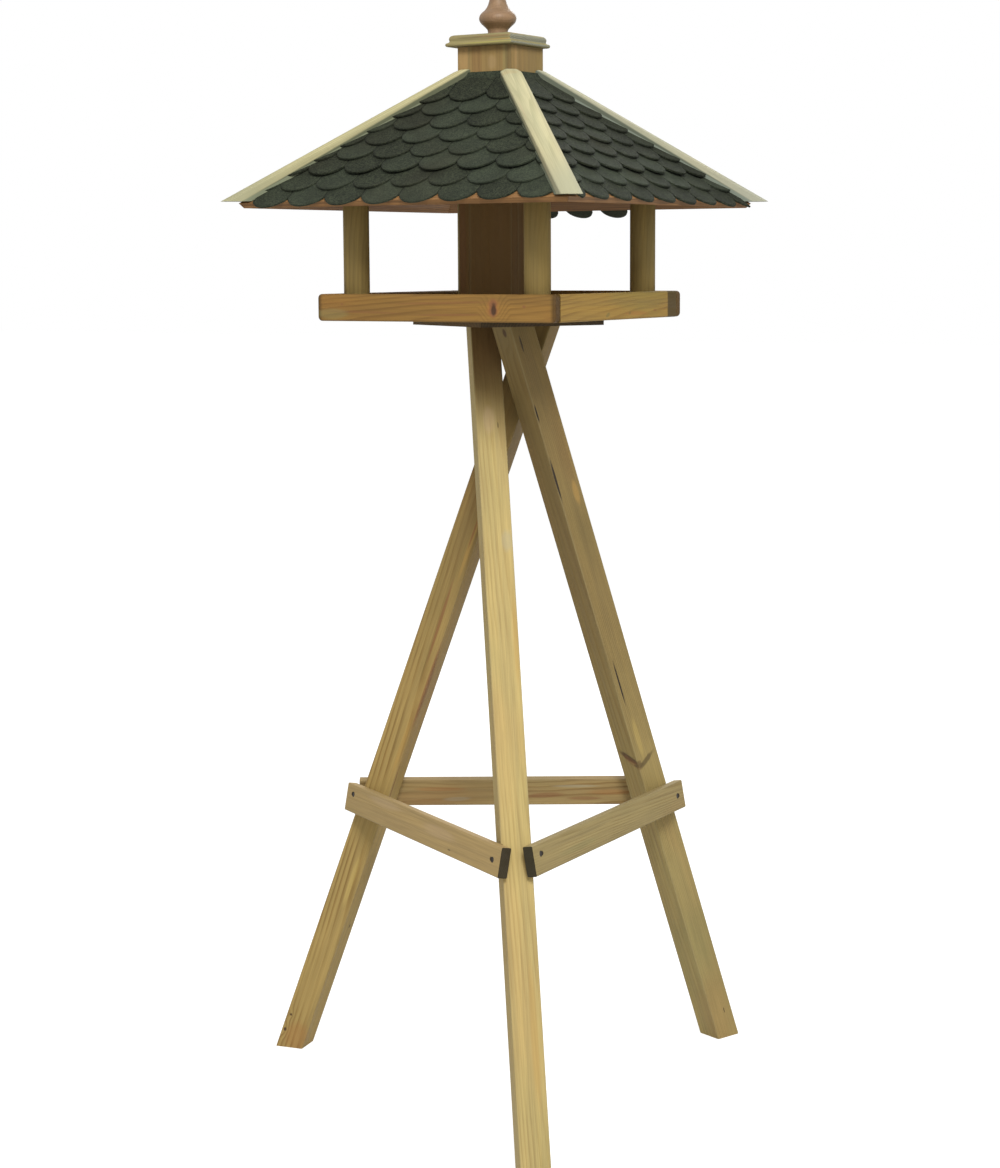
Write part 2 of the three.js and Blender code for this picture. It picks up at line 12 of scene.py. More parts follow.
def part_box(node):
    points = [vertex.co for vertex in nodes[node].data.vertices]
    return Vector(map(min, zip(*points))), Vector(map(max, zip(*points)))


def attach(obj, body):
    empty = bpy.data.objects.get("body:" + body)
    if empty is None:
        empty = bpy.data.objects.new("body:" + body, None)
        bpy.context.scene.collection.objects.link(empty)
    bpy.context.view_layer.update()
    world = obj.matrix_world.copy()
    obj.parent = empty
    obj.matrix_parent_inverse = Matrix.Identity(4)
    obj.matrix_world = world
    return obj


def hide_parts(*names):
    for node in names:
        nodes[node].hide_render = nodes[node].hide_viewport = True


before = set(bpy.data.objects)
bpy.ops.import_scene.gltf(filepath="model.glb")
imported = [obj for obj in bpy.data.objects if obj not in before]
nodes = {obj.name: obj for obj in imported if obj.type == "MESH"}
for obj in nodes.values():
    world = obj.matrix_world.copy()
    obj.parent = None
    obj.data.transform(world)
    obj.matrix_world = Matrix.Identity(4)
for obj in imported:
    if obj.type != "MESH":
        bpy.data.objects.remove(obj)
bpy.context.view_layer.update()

MM = 0.001
SEED = 20
QUARTER = math.pi / 2
SIDES = ("front", "right", "back", "left")
CORNERS = ("front_right", "back_right", "back_left", "front_left")

# The photograph's camera, about the silo's axis and the top of the tray's rim
PHOTO_WIDTH = 1000
PHOTO_HEIGHT = 1168
FOCAL_PIXELS = 2334.0
SENSOR = 36.0
CAMERA_TURN = math.radians(31.8569)
CAMERA_PITCH = math.radians(7.9128)
CAMERA_ROLL = math.radians(-0.3207)
CAMERA_PLACE = Vector((-5.21, -3585.42, 49.31)) * MM

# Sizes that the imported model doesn't state by itself
ROOF_PITCH = math.radians(37.4)
PITCH_COS = math.cos(ROOF_PITCH)
PITCH_SIN = math.sin(ROOF_PITCH)
PANEL = 9 * MM
SEAT_GAP = 0.3 * MM

silo_boxes = [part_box(f"silo_board_{side}") for side in SIDES]
silo_low = Vector([min(low[k] for low, _ in silo_boxes) for k in range(3)])
silo_high = Vector([max(high[k] for _, high in silo_boxes) for k in range(3)])
house = (silo_low + silo_high) / 2
silo_half = (silo_high.x - silo_low.x) / 2
silo_middle = (silo_low.z + silo_high.z) / 2
rim_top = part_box("rim_front")[1].z
panel_low, panel_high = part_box("roof_panel_front")
eave_half = house.y - panel_low.y
eave_top = panel_low.z + PANEL * PITCH_COS
throat_half = silo_half + SEAT_GAP
slope_length = (eave_half - throat_half) / PITCH_COS
stand_middle = Vector((house.x, house.y, rim_top / 2))
tray_middle = Vector((house.x, house.y, rim_top))
eave_middle = Vector((house.x, house.y, eave_top))


def from_view(right, away, up):
    """A direction of the photograph's view, in the row frame."""
    c, s = math.cos(CAMERA_TURN), math.sin(CAMERA_TURN)
    return Vector((right * c - away * s, right * s + away * c, up))


def axes_frame(axes, place):
    """The matrix of a frame with these axes at a place of the row frame."""
    matrix = Matrix([list(axis) for axis in axes]).transposed().to_4x4()
    matrix.translation = place
    return matrix


def link(thing):
    bpy.context.scene.collection.objects.link(thing)
    return thing


# Camera, lights and floor
CAMERA_CLIP = (0.05, 100)


def make_camera():
    data = bpy.data.cameras.new("photo_camera")
    data.sensor_fit = "HORIZONTAL"
    data.sensor_width = SENSOR
    data.lens = FOCAL_PIXELS / PHOTO_WIDTH * SENSOR
    data.clip_start, data.clip_end = CAMERA_CLIP
    look = from_view(0, math.cos(CAMERA_PITCH), -math.sin(CAMERA_PITCH))
    right = from_view(1, 0, 0)
    up = right.cross(look)
    c, s = math.cos(CAMERA_ROLL), math.sin(CAMERA_ROLL)
    place = tray_middle + from_view(*CAMERA_PLACE)
    camera = link(bpy.data.objects.new("photo_camera", data))
    camera.matrix_world = axes_frame((right * c + up * s, up * c - right * s, -look), place)
    bpy.context.scene.camera = camera


def make_light(name, place, aim, size, power):
    data = bpy.data.lights.new(name, "AREA")
    data.shape = "DISK"
    data.size = size
    data.energy = power
    light = link(bpy.data.objects.new(name, data))
    light.location = place
    light.rotation_euler = (aim - place).to_track_quat("-Z", "Y").to_euler()


class Graph:
    """The nodes of one material, made by short calls. A value is a number, a colour or a socket."""

    def __init__(self, tree):
        self.tree = tree
        self.tree.nodes.clear()

    def node(self, kind, inputs=(), **settings):
        made = self.tree.nodes.new("ShaderNode" + kind)
        for name, value in settings.items():
            setattr(made, name, value)
        for key, value in dict(inputs).items():
            self.put(made.inputs[key], value)
        return made

    def put(self, socket, value):
        if isinstance(value, bpy.types.NodeSocket):
            self.tree.links.new(value, socket)
        else:
            socket.default_value = value

    def math(self, operation, a, b=0.0):
        return self.node("Math", {0: a, 1: b}, operation=operation).outputs[0]

    def plus(self, a, b):
        return self.math("ADD", a, b)

    def minus(self, a, b):
        return self.math("SUBTRACT", a, b)

    def times(self, a, b):
        return self.math("MULTIPLY", a, b)

    def vector(self, operation, a, b=(0, 0, 0)):
        made = self.node("VectorMath", {0: a, 1: b}, operation=operation)
        return made.outputs["Value" if operation in ("DOT_PRODUCT", "LENGTH") else "Vector"]

    def split(self, vector):
        return self.node("SeparateXYZ", {0: vector}).outputs

    def join(self, x, y, z):
        return self.node("CombineXYZ", {0: x, 1: y, 2: z}).outputs[0]

    def lit(self, colour, light):
        """A colour times a number."""
        return self.vector("MULTIPLY", colour, self.join(light, light, light))

    def blend(self, factor, a, b):
        return self.node("Mix", {0: factor, 6: a, 7: b}, data_type="RGBA").outputs[2]

    def steps(self, value, low, high, floor=0.0, top=1.0):
        """value taken smoothly from floor at low to top at high."""
        inputs = {0: value, 1: low, 2: high, 3: floor, 4: top}
        return self.node("MapRange", inputs, interpolation_type="SMOOTHSTEP").outputs[0]

    def seen(self):
        """1 for what the camera sees, directly or in a reflection, and 0 elsewhere."""
        path = self.node("LightPath").outputs
        return self.math("MAXIMUM", path["Is Camera Ray"], path["Is Glossy Ray"])

    def noise(self, vector, scale, detail=2.0, roughness=0.5):
        inputs = {"Vector": vector, "Scale": scale, "Detail": detail, "Roughness": roughness}
        return self.node("TexNoise", inputs).outputs[0]


def new_material(name):
    material = bpy.data.materials.new(name)
    material.use_nodes = True
    return material, Graph(material.node_tree)


def finish_material(graph, colour, roughness, bump, bump_depth, specular=0.35):
    relief = graph.node("Bump", {"Height": bump, "Strength": 1.0, "Distance": bump_depth}).outputs[0]
    inputs = {"Base Color": colour, "Roughness": roughness, "Specular IOR Level": specular, "Normal": relief}
    shader = graph.node("BsdfPrincipled", inputs)
    graph.node("OutputMaterial", {"Surface": shader.outputs[0]})
    return shader


WORLD_LIGHT = 0.60
FLOOR_SIZE = 60.0
FLOOR_COLOUR = (0.55, 0.55, 0.545, 1)
FLOOR_LIFT = 0.68


def make_world():
    world = bpy.data.worlds.new("studio")
    world.use_nodes = True
    bpy.context.scene.world = world
    graph = Graph(world.node_tree)
    strength = graph.node("MapRange", {0: graph.seen(), 3: WORLD_LIGHT, 4: 1.0}).outputs[0]
    background = graph.node("Background", {"Color": (1, 1, 1, 1), "Strength": strength})
    graph.node("OutputWorld", {"Surface": background.outputs[0]})


def make_floor():
    """A white floor that keeps the shadow and is lifted to white for the camera."""
    mesh = bpy.data.meshes.new("studio_floor")
    half = FLOOR_SIZE / 2
    corners = [(-half, -half, 0), (half, -half, 0), (half, half, 0), (-half, half, 0)]
    mesh.from_pydata(corners, [], [(0, 1, 2, 3)])
    floor = link(bpy.data.objects.new("studio_floor", mesh))
    material, graph = new_material("studio_floor")
    diffuse = graph.node("BsdfDiffuse", {"Color": FLOOR_COLOUR})
    lift = graph.times(graph.seen(), FLOOR_LIFT)
    glow = graph.node("Emission", {"Color": (1, 1, 1, 1), "Strength": lift})
    both = graph.node("AddShader", {0: diffuse.outputs[0], 1: glow.outputs[0]})
    graph.node("OutputMaterial", {"Surface": both.outputs[0]})
    mesh.materials.append(material)


AIM_BELOW_RIM = 0.4

make_camera()
make_world()
make_floor()
lamp_aim = tray_middle - Vector((0, 0, AIM_BELOW_RIM))
make_light("sky", tray_middle + from_view(0.5, -3.5, 2.5), lamp_aim, size=1.6, power=165)
make_light("front", stand_middle + from_view(-0.5, -5.0, 0.2), stand_middle, size=3.0, power=14)
make_light("back", tray_middle + from_view(0.8, 3.8, 1.8), lamp_aim, size=2.0, power=60)
bpy.context.scene.view_settings.view_transform = "Standard"

# Frames of boards. Faces look the same way above SAME_WAY and crosswise below CROSSWISE, a wide one
# has more than WIDE_SHARE of the surface, and a level direction rises at most LEVEL_RISE.
SAME_WAY = 0.999
WIDE_SHARE = 0.09
CROSSWISE = 0.35
LEVEL_RISE = 0.02


def main_faces(node):
    """The directions that a node's faces look in, opposite ones as one, with their areas."""
    found = []
    for face in nodes[node].data.polygons:
        for entry in found:
            if abs(entry[1].dot(face.normal)) > SAME_WAY:
                entry[0] += face.area
                break
        else:
            found.append([face.area, face.normal.copy()])
    return sorted(found, key=lambda entry: -entry[0])


def board_frame(node, face, along=None):
    """A board's own frame: x along the grain, z out of the main face nearest to the direction
    face, the origin in its middle. Gives the matrix to the row frame and the half sizes."""
    faces = main_faces(node)
    whole = sum(area for area, _ in faces)
    wide = [normal for area, normal in faces if area > WIDE_SHARE * whole]
    out = max(wide, key=lambda normal: abs(normal.dot(face)))
    if out.dot(face) < 0:
        out = -out
    if along is None:
        edge = next(normal for _, normal in faces if abs(normal.dot(out)) < CROSSWISE)
        along = out.cross(edge)
    along = (along - out * along.dot(out)).normalized()
    falls = along.z < -LEVEL_RISE
    level = abs(along.z) <= LEVEL_RISE
    if falls or (level and along.dot(from_view(1, 0, 0)) < 0):
        along = -along
    across = out.cross(along)
    turn = Matrix([list(along), list(across), list(out)])
    spots = [turn @ vertex.co for vertex in nodes[node].data.vertices]
    low = Vector([min(spot[k] for spot in spots) for k in range(3)])
    high = Vector([max(spot[k] for spot in spots) for k in range(3)])
    place = axes_frame((along, across, out), turn.transposed() @ ((low + high) / 2))
    return place, (high - low) / 2


# Marks on the wood, in tables of rows. Each lies where the photograph's pixel (across, down) falls.
# Its length and width are half its sizes in mm, and lean is how far it drifts across the grain.
Mark = namedtuple("Mark", "across down length width strength tone lean", defaults=(0.0,))


def seen_point(node, across, down):
    """The point of a node that the photograph shows at a pixel, and its face's direction."""
    mesh = nodes[node].data
    corners = [vertex.co for vertex in mesh.vertices]
    tree = BVHTree.FromPolygons(corners, [face.vertices for face in mesh.polygons])
    camera = bpy.context.scene.camera.matrix_world
    aim = Vector((across - PHOTO_WIDTH / 2, PHOTO_HEIGHT / 2 - down, -FOCAL_PIXELS))
    point, out = tree.ray_cast(camera.translation, (camera.to_3x3() @ aim).normalized())[:2]
    if point is None:
        raise ValueError(f"the mark at {across}, {down} misses {node}")
    return point, out


# Wood. Tones are linear colours.
TONES = {
    "stand": {
        "pale": (0.56, 0.43, 0.165), "dark": (0.36, 0.245, 0.078), "olive": (0.34, 0.30, 0.115),
        "warm": (0.50, 0.31, 0.115), "end": (0.038, 0.029, 0.008), "arris": (0.42, 0.36, 0.19),
        # The tone below is painted shade under the tray, over a real darker stain of the leg tops
        "stain_and_shade": (0.132, 0.055, 0.010),
    },
    "tray": {
        "pale": (0.36, 0.215, 0.062), "dark": (0.20, 0.105, 0.028), "olive": (0.26, 0.195, 0.062),
        "warm": (0.40, 0.20, 0.055), "end": (0.096, 0.053, 0.0095), "arris": (0.150, 0.105, 0.040),
        "stain_and_shade": (0.066, 0.040, 0.008),
    },
    "post": {
        "pale": (0.286, 0.201, 0.061), "dark": (0.178, 0.121, 0.035), "olive": (0.226, 0.190, 0.063),
        "warm": (0.309, 0.196, 0.063), "end": (0.119, 0.081, 0.032),
    },
    "silo": {
        "pale": (0.267, 0.174, 0.060), "dark": (0.162, 0.096, 0.030), "olive": (0.203, 0.162, 0.058),
        "warm": (0.308, 0.178, 0.064), "end": (0.130, 0.081, 0.034), "arris": (0.267, 0.203, 0.090),
        # The tone below is painted shade under the roof
        "stain_and_shade": (0.168, 0.092, 0.024),
    },
    "panel": {
        "pale": (0.20, 0.105, 0.040), "dark": (0.10, 0.048, 0.018), "olive": (0.14, 0.092, 0.032),
        "warm": (0.34, 0.150, 0.050), "end": (0.24, 0.115, 0.045),
    },
    "batten": {
        "pale": (0.484, 0.442, 0.256), "dark": (0.316, 0.298, 0.163), "olive": (0.372, 0.386, 0.237),
        "warm": (0.465, 0.372, 0.200), "end": (0.093, 0.079, 0.037), "arris": (0.279, 0.307, 0.214),
        # The first tone below is painted shade on the battens' lower sides
        "shaded_skirt": (0.085, 0.096, 0.056), "stain_and_shade": (0.355, 0.345, 0.225),
    },
    "turned": {
        "pale": (0.251, 0.153, 0.080), "dark": (0.169, 0.090, 0.046), "olive": (0.207, 0.138, 0.075),
        "warm": (0.263, 0.132, 0.064), "end": (0.224, 0.137, 0.073),
    },
    "lid": {
        "pale": (0.270, 0.225, 0.089), "dark": (0.175, 0.139, 0.057), "olive": (0.197, 0.210, 0.106),
        "warm": (0.307, 0.203, 0.075), "end": (0.207, 0.204, 0.143),
    },
    "plate": {
        "pale": (0.12, 0.078, 0.030), "dark": (0.070, 0.042, 0.016), "olive": (0.09, 0.070, 0.030),
        "warm": (0.12, 0.070, 0.028), "end": (0.050, 0.034, 0.015), "arris": (0.11, 0.08, 0.036),
    },
}
MARK_TONES = {
    "knot": (0.060, 0.026, 0.010, 1), "crack": (0.022, 0.014, 0.008, 1), "halo": (0.34, 0.135, 0.035, 1),
    "shade": (0.11, 0.075, 0.028, 1), "yellow": (0.55, 0.40, 0.12, 1), "amber": (0.42, 0.25, 0.065, 1),
    # The yellow-green tone after olive on the next line is a painted highlight along the lid's cove
    "tan": (0.40, 0.25, 0.10, 1), "olive": (0.24, 0.23, 0.09, 1), "cove_highlight": (0.36, 0.34, 0.075, 1),
    "pink": (0.50, 0.36, 0.22, 1), "grey": (0.36, 0.34, 0.24, 1), "green": (0.10, 0.11, 0.035, 1),
    "red": (0.20, 0.080, 0.030, 1),
}
MARK_DEPTH = 14 * MM
MARK_EDGE = (0.55, 1.12)
MARK_RAGGED = 0.7
DENTED = ("knot", "crack")

# How far a knot bends the rings along and across the grain, and how much, in its own sizes
KNOT_REACH = (6, 4)
KNOT_PUSH = 1.2

# The patterns of the wood: how fine each is along x, y and z of the board's frame
SEED_STEP = (1.37, 0.61, 0.23)
WAVES = (5, 15, 15)
FIBRES = (14, 700, 700)
STREAKS = (3.0, 90, 90)
PATCHES = (2.4, 9.0, 9.0)
GLOWS = (3.1, 12, 12)
GLOW_SHIFT = (7, 3, 1)
FADES = (9, 9, 9)

WOOD_RELIEF = 0.35 * MM
DENT_DEPTH = 2.0
SKIRT_RAGGED = 2 * MM
ARRIS_RAGGED = 0.16


def seen_marks(g, name, place, marks, axes):
    """Each mark with the distances from its middle: along the grain, across its face and into it."""
    seen = []
    for mark in [Mark(*row) for row in marks]:
        spot, out = seen_point(name, mark.across, mark.down)
        spot = place.inverted() @ spot
        out = place.to_3x3().inverted() @ out
        along, side, deep = [g.minus(axis, at) for axis, at in zip(axes, spot)]
        if abs(out.z) <= abs(out.y):
            side, deep = deep, side
        seen.append((mark, along, side, deep))
    return seen


def ring_phase(g, axes, wave, seen, rings, pith, tilt, waver):
    """Where each point lies in its annual ring, from 0 to 1. Knots bend the rings."""
    x, y, z = axes
    bend = g.plus(g.times(x, tilt[0]), g.times(g.minus(wave, 0.5), waver))
    ring_y = g.minus(g.minus(y, pith[0]), bend)
    ring_z = g.minus(g.minus(z, pith[1]), g.times(x, tilt[1]))
    radius = g.vector("LENGTH", g.join(0.0, ring_y, ring_z))
    for mark, along, side, _ in seen:
        if mark.tone == "knot" and mark.lean == 0:
            reach = (KNOT_REACH[0] * mark.length * MM, KNOT_REACH[1] * mark.width * MM, 1)
            far = g.vector("LENGTH", g.vector("DIVIDE", g.join(along, side, 0.0), reach))
            radius = g.plus(radius, g.steps(far, 0.0, 1.0, KNOT_PUSH * mark.width * MM, 0.0))
    return g.math("FRACT", g.math("DIVIDE", radius, rings))


def marked(g, colour, seen, sway):
    """The colour with the marks on it, and how strongly each point is dented by them."""
    dent = 0.0
    for mark, along, side, deep in seen:
        across = g.minus(side, g.times(along, mark.lean))
        reach = (mark.length * MM, mark.width * MM, MARK_DEPTH)
        far = g.vector("LENGTH", g.vector("DIVIDE", g.join(along, across, deep), reach))
        far = g.plus(far, g.times(sway, MARK_RAGGED))
        cover = g.steps(far, *MARK_EDGE, mark.strength, 0.0)
        colour = g.blend(cover, colour, MARK_TONES[mark.tone])
        if mark.tone in DENTED:
            dent = g.math("MAXIMUM", dent, cover)
    return colour, dent


def wood(name, style, place, edges=None, seed=0, marks=(), rings=4.2 * MM, pith=(-26 * MM, -48 * MM),
         tilt=(0.02, 0.03), waver=14 * MM, grain=0.65, patches=0.6, wear=0.35, end_share=0.75,
         roughness=0.72, tint=(1, 1, 1), stain_and_shade=None, bare=None, shaded_skirt=None, tips=None):
    """Planed softwood with annual rings about a pith line beside the board's middle.
    edges: how far its long edges lie from its middle. Without it they aren't worn.
    end_share: how squarely a surface has to cross the grain to be end grain.
    stain_and_shade: where along the grain the dark end starts, where it is full, and its strength.
    On the legs it is painted shade under the tray over a real stain, on the silo painted shade under
    the roof. The side that looks in the direction bare has none, as it is painted lit. tips: the same for
    both ends.
    shaded_skirt: painted shade on the lower part of the sides: where it is full, where it ends,
    how it sinks along the grain, and its strength."""
    tone = {key: (*[a * b for a, b in zip(value, tint)], 1) for key, value in TONES[style].items()}
    material, g = new_material(name)
    coordinates = g.node("TexCoord").outputs
    inputs = {"Vector": coordinates["Object"], "Location": place.translation, "Rotation": place.to_euler()}
    local = g.node("Mapping", inputs, vector_type="TEXTURE").outputs[0]
    shifted = g.vector("ADD", local, tuple(seed * step for step in SEED_STEP))
    axes = g.split(local)[:3]
    x, y, z = axes

    def pattern(scale, detail=2.0, rough=0.5, shift=(0, 0, 0)):
        spot = g.vector("ADD", g.vector("MULTIPLY", shifted, scale), shift)
        return g.noise(spot, 1.0, detail, rough)

    # Annual rings, fibres and broad patches
    seen = seen_marks(g, name, place, marks, axes)
    phase = ring_phase(g, axes, pattern(WAVES), seen, rings, pith, tilt, waver)
    late = g.times(g.steps(phase, 0.35, 0.86), g.steps(phase, 0.90, 0.99, 1.0, 0.0))
    late = g.times(late, g.steps(pattern(FADES), 0.32, 0.62, 0.25, 1.0))
    fibre = pattern(FIBRES, 3.0, 0.6)
    streak = pattern(STREAKS)
    patch = g.steps(pattern(PATCHES, 3.0, 0.55), 0.46, 0.72)
    glow = g.steps(pattern(GLOWS, shift=GLOW_SHIFT), 0.52, 0.74)
    colour = g.blend(g.times(late, grain), tone["pale"], tone["dark"])
    colour = g.blend(g.times(patch, patches), colour, tone["olive"])
    colour = g.blend(g.times(glow, 0.8 * patches), colour, tone["warm"])
    light = g.plus(g.steps(fibre, 0.25, 0.75, 0.88, 1.08), g.steps(streak, 0.3, 0.7, -0.10, 0.08))
    colour = g.lit(colour, light)

    # Darker ends and sides, with ragged borders
    sway = g.minus(streak, 0.5)
    # A darker end. On the legs it is painted shade under the tray over a real stain, on the silo painted
    # shade under the roof
    if stain_and_shade:
        start, full, strength = stain_and_shade
        uneven = g.plus(x, g.times(sway, 0.3 * abs(full - start)))
        ends = (start, full, 0.0, strength) if full > start else (full, start, strength, 0.0)
        cover = g.steps(uneven, *ends)
        # The side that looks towards bare is painted lit: it gets none of the darker end
        if bare:
            turned = g.vector("DOT_PRODUCT", coordinates["Normal"], bare)
            cover = g.times(cover, g.steps(turned, 0.3, 0.7, 1.0, 0.0))
        colour = g.blend(cover, colour, tone["stain_and_shade"])
    # Painted shade: the lower part of the sides is darker and greener, where the shingles shade them
    if shaded_skirt:
        full, end, sink, strength = shaded_skirt
        level = g.plus(g.plus(z, g.times(x, sink)), g.times(sway, SKIRT_RAGGED))
        colour = g.blend(g.steps(level, full, end, strength, 0.0), colour, tone["shaded_skirt"])
    if tips:
        start, full, strength = tips
        cover = g.steps(g.math("ABSOLUTE", x), start, full, 0.0, strength)
        colour = g.blend(cover, colour, tone["end"])

    # Worn arrises
    if edges is not None:
        near = [g.math("DIVIDE", g.math("ABSOLUTE", axis), edge) for axis, edge in zip((y, z), edges)]
        edge = g.plus(g.math("MINIMUM", *near), g.times(sway, ARRIS_RAGGED))
        colour = g.blend(g.steps(edge, 0.86, 1.0, 0.0, wear), colour, tone["arris"])

    # Knots, cracks and end grain
    colour, dent = marked(g, colour, seen, sway)
    facing = g.vector("DOT_PRODUCT", coordinates["Normal"], place.col[0].to_3d())
    end = g.steps(g.math("ABSOLUTE", facing), end_share, min(end_share + 0.15, 0.99))
    light = g.times(g.steps(phase, 0.2, 0.8, 0.85, 1.25), g.steps(fibre, 0.3, 0.7, 0.8, 1.2))
    colour = g.blend(end, colour, g.lit(tone["end"][:3], light))

    relief = g.plus(g.times(late, 0.5), g.times(fibre, 0.5))
    relief = g.minus(relief, g.times(dent, DENT_DEPTH))
    rough = g.steps(streak, 0.2, 0.8, roughness - 0.07, roughness + 0.1)
    finish_material(g, colour, rough, relief, WOOD_RELIEF)
    return material


# Pieces and their meshes
def dress(thing, *materials):
    thing.data.materials.clear()
    for material in materials:
        thing.data.materials.append(material)


def new_piece(name, mesh, body, slot, *replaced):
    """A piece of the scene from its finished bmesh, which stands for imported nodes."""
    data = bpy.data.meshes.new(name)
    mesh.to_mesh(data)
    mesh.free()
    piece = link(bpy.data.objects.new(name, data))
    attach(piece, body)
    if replaced:
        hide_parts(*replaced)
    return piece


def rounded_ring(half_x, half_y, height, radius, reach, steps):
    """Points round a rectangle: radius sets the middles of its corners, reach how far their arcs go."""
    ring = []
    for i in range(4):
        middle_x = (1, -1, -1, 1)[i] * (half_x - radius)
        middle_y = (1, 1, -1, -1)[i] * (half_y - radius)
        for k in range(steps + 1):
            angle = QUARTER * (i + k / steps)
            x = middle_x + reach * math.cos(angle)
            y = middle_y + reach * math.sin(angle)
            ring.append(Vector((x, y, height)))
    return ring


def join_rings(mesh, rings, caps=()):
    """Faces between each ring of points and the next, and over the open ends."""
    for lower, upper in zip(rings, rings[1:]):
        for k in range(len(lower)):
            n = (k + 1) % len(lower)
            mesh.faces.new((lower[k], lower[n], upper[n], upper[k]))
    for cap in caps:
        mesh.faces.new(cap)
    bmesh.ops.recalc_face_normals(mesh, faces=mesh.faces)


CUT_TOLERANCE = 1e-7


def trim(mesh, point, normal):
    """Cuts off what lies beyond a plane and closes the cut. The new faces get material 1."""
    everything = mesh.verts[:] + mesh.edges[:] + mesh.faces[:]
    plane = {"plane_co": point, "plane_no": normal, "clear_outer": True, "dist": CUT_TOLERANCE}
    bmesh.ops.bisect_plane(mesh, geom=everything, **plane)
    open_edges = [edge for edge in mesh.edges if edge.is_boundary]
    filled = bmesh.ops.holes_fill(mesh, edges=open_edges, sides=0)
    for face in filled["faces"]:
        face.material_index = 1


# Directions on the object
UP = Vector((0, 0, 1))
FRONT = Vector((0, -1, 0))
RIGHT = Vector((1, 0, 0))


def side_direction(i):
    """The direction that the i-th side looks in."""
    return Vector((math.sin(i * QUARTER), -math.cos(i * QUARTER), 0))


def roof_direction(i):
    """The direction that the roof over the i-th side looks in."""
    return side_direction(i) * PITCH_SIN + UP * PITCH_COS


def node_foot(node):
    """The middle of a node's underside, half its width, and its height."""
    low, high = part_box(node)
    foot = Vector(((low.x + high.x) / 2, (low.y + high.y) / 2, low.z))
    return foot, (high.x - low.x) / 2, high.z - low.z


def from_end(half, reach):
    """Where a darker end starts and is full, from its distances to the board's upper end in mm."""
    start, full, strength = reach
    return half.x - start * MM, half.x - full * MM, strength


def soften(thing, width=1.1 * MM, from_angle=30):
    """Eases a packed board's edges by a modifier, which leaves its mesh as it is."""
    bevel = thing.modifiers.new("eased_edges", "BEVEL")
    bevel.limit_method = "ANGLE"
    bevel.angle_limit = math.radians(from_angle)
    bevel.width = width
    bevel.segments = 3


# The first seed of each kind of wood
SEEDS = {
    "stand": 1, "rim": 9, "silo": 14, "panel": 19, "batten": 24, "hidden": 29, "lid": 31, "post": 34,
    "finial": 40,
}

# The stand's legs and rails. The legs' darker upper parts are painted shade under the tray on top of
# a real darker stain, given from the upper end, as in from_end.
STAND_MARKS = {
    "leg_front": (
        (507, 541, 20, 9, 0.35, "grey"), (489, 420, 26, 9, 0.30, "pink"),
        (516, 640, 90, 5, 0.40, "amber"), (535, 1040, 120, 6, 0.40, "amber"),
        (498, 425, 5, 1.0, 0.6, "crack"),
    ),
    "leg_right": (
        (536.8, 413.5, 16, 1.5, 1.0, "crack"), (556.2, 481, 40, 1.9, 1.0, "crack"),
        (619.2, 683, 42, 1.5, 1.0, "crack"), (521.5, 344, 14, 1.6, 0.8, "crack"),
        (504.5, 333, 8, 4.5, 0.8, "knot"), (576, 492, 22, 6, 0.5, "amber"),
        (629.5, 758.5, 11, 14.0, 0.80, "knot", 1.6), (633, 763, 12, 12.0, 0.4, "red", 1.2),
        (646.5, 759.5, 10, 12.0, 0.82, "shade", -1.6), (640.0, 765.5, 4.0, 9.0, 0.75, "shade", 0.01),
        (638, 738, 40, 6, 0.35, "yellow"), (724, 1010, 7, 1.2, 0.8, "crack"),
    ),
    "leg_left": (
        (402, 745, 60, 4, 0.45, "amber"), (392, 790, 60, 2.5, 0.70, "red", 0.05),
        (425, 690, 90, 2.4, 0.70, "red"), (440, 622, 80, 2.8, 0.65, "red", 0.02),
        (470, 545, 70, 4, 0.50, "amber"), (473, 534, 30, 2, 0.6, "red"),
        (352, 880, 50, 5, 0.4, "yellow"), (285, 1029, 4, 3, 0.9, "knot"),
        (291, 1014.5, 2.5, 2, 0.9, "knot"), (349.5, 926, 5, 2.5, 0.8, "knot"),
        (296, 1036, 30, 20, 0.35, "halo"),
    ),
    "rail_left": (
        (438, 832, 60, 9, 0.3, "pink"), (385, 804, 60, 8, 0.3, "pink"),
        (354.2, 793.9, 3.8, 3.8, 1.0, "crack"), (492, 859, 3.8, 3.8, 1.0, "crack"),
        (449, 850, 5, 1.4, 0.5, "crack"),
    ),
    "rail_right": (
        (580, 846, 70, 6, 0.25, "olive"), (541.2, 853.4, 3.8, 3.8, 1.0, "crack"),
        (677.4, 795.4, 3.8, 3.8, 1.0, "crack"),
    ),
    "rail_back": (
        (440, 789, 46, 4, 0.35, "halo"), (457, 799, 26, 4, 0.30, "grey", 0.03),
        (545, 795, 34, 5, 0.50, "red", 0.05), (584, 798, 30, 3.5, 0.50, "red"),
        (612, 792, 46, 5, 0.35, "halo"), (575, 786, 45, 3, 0.40, "grey"),
    ),
}
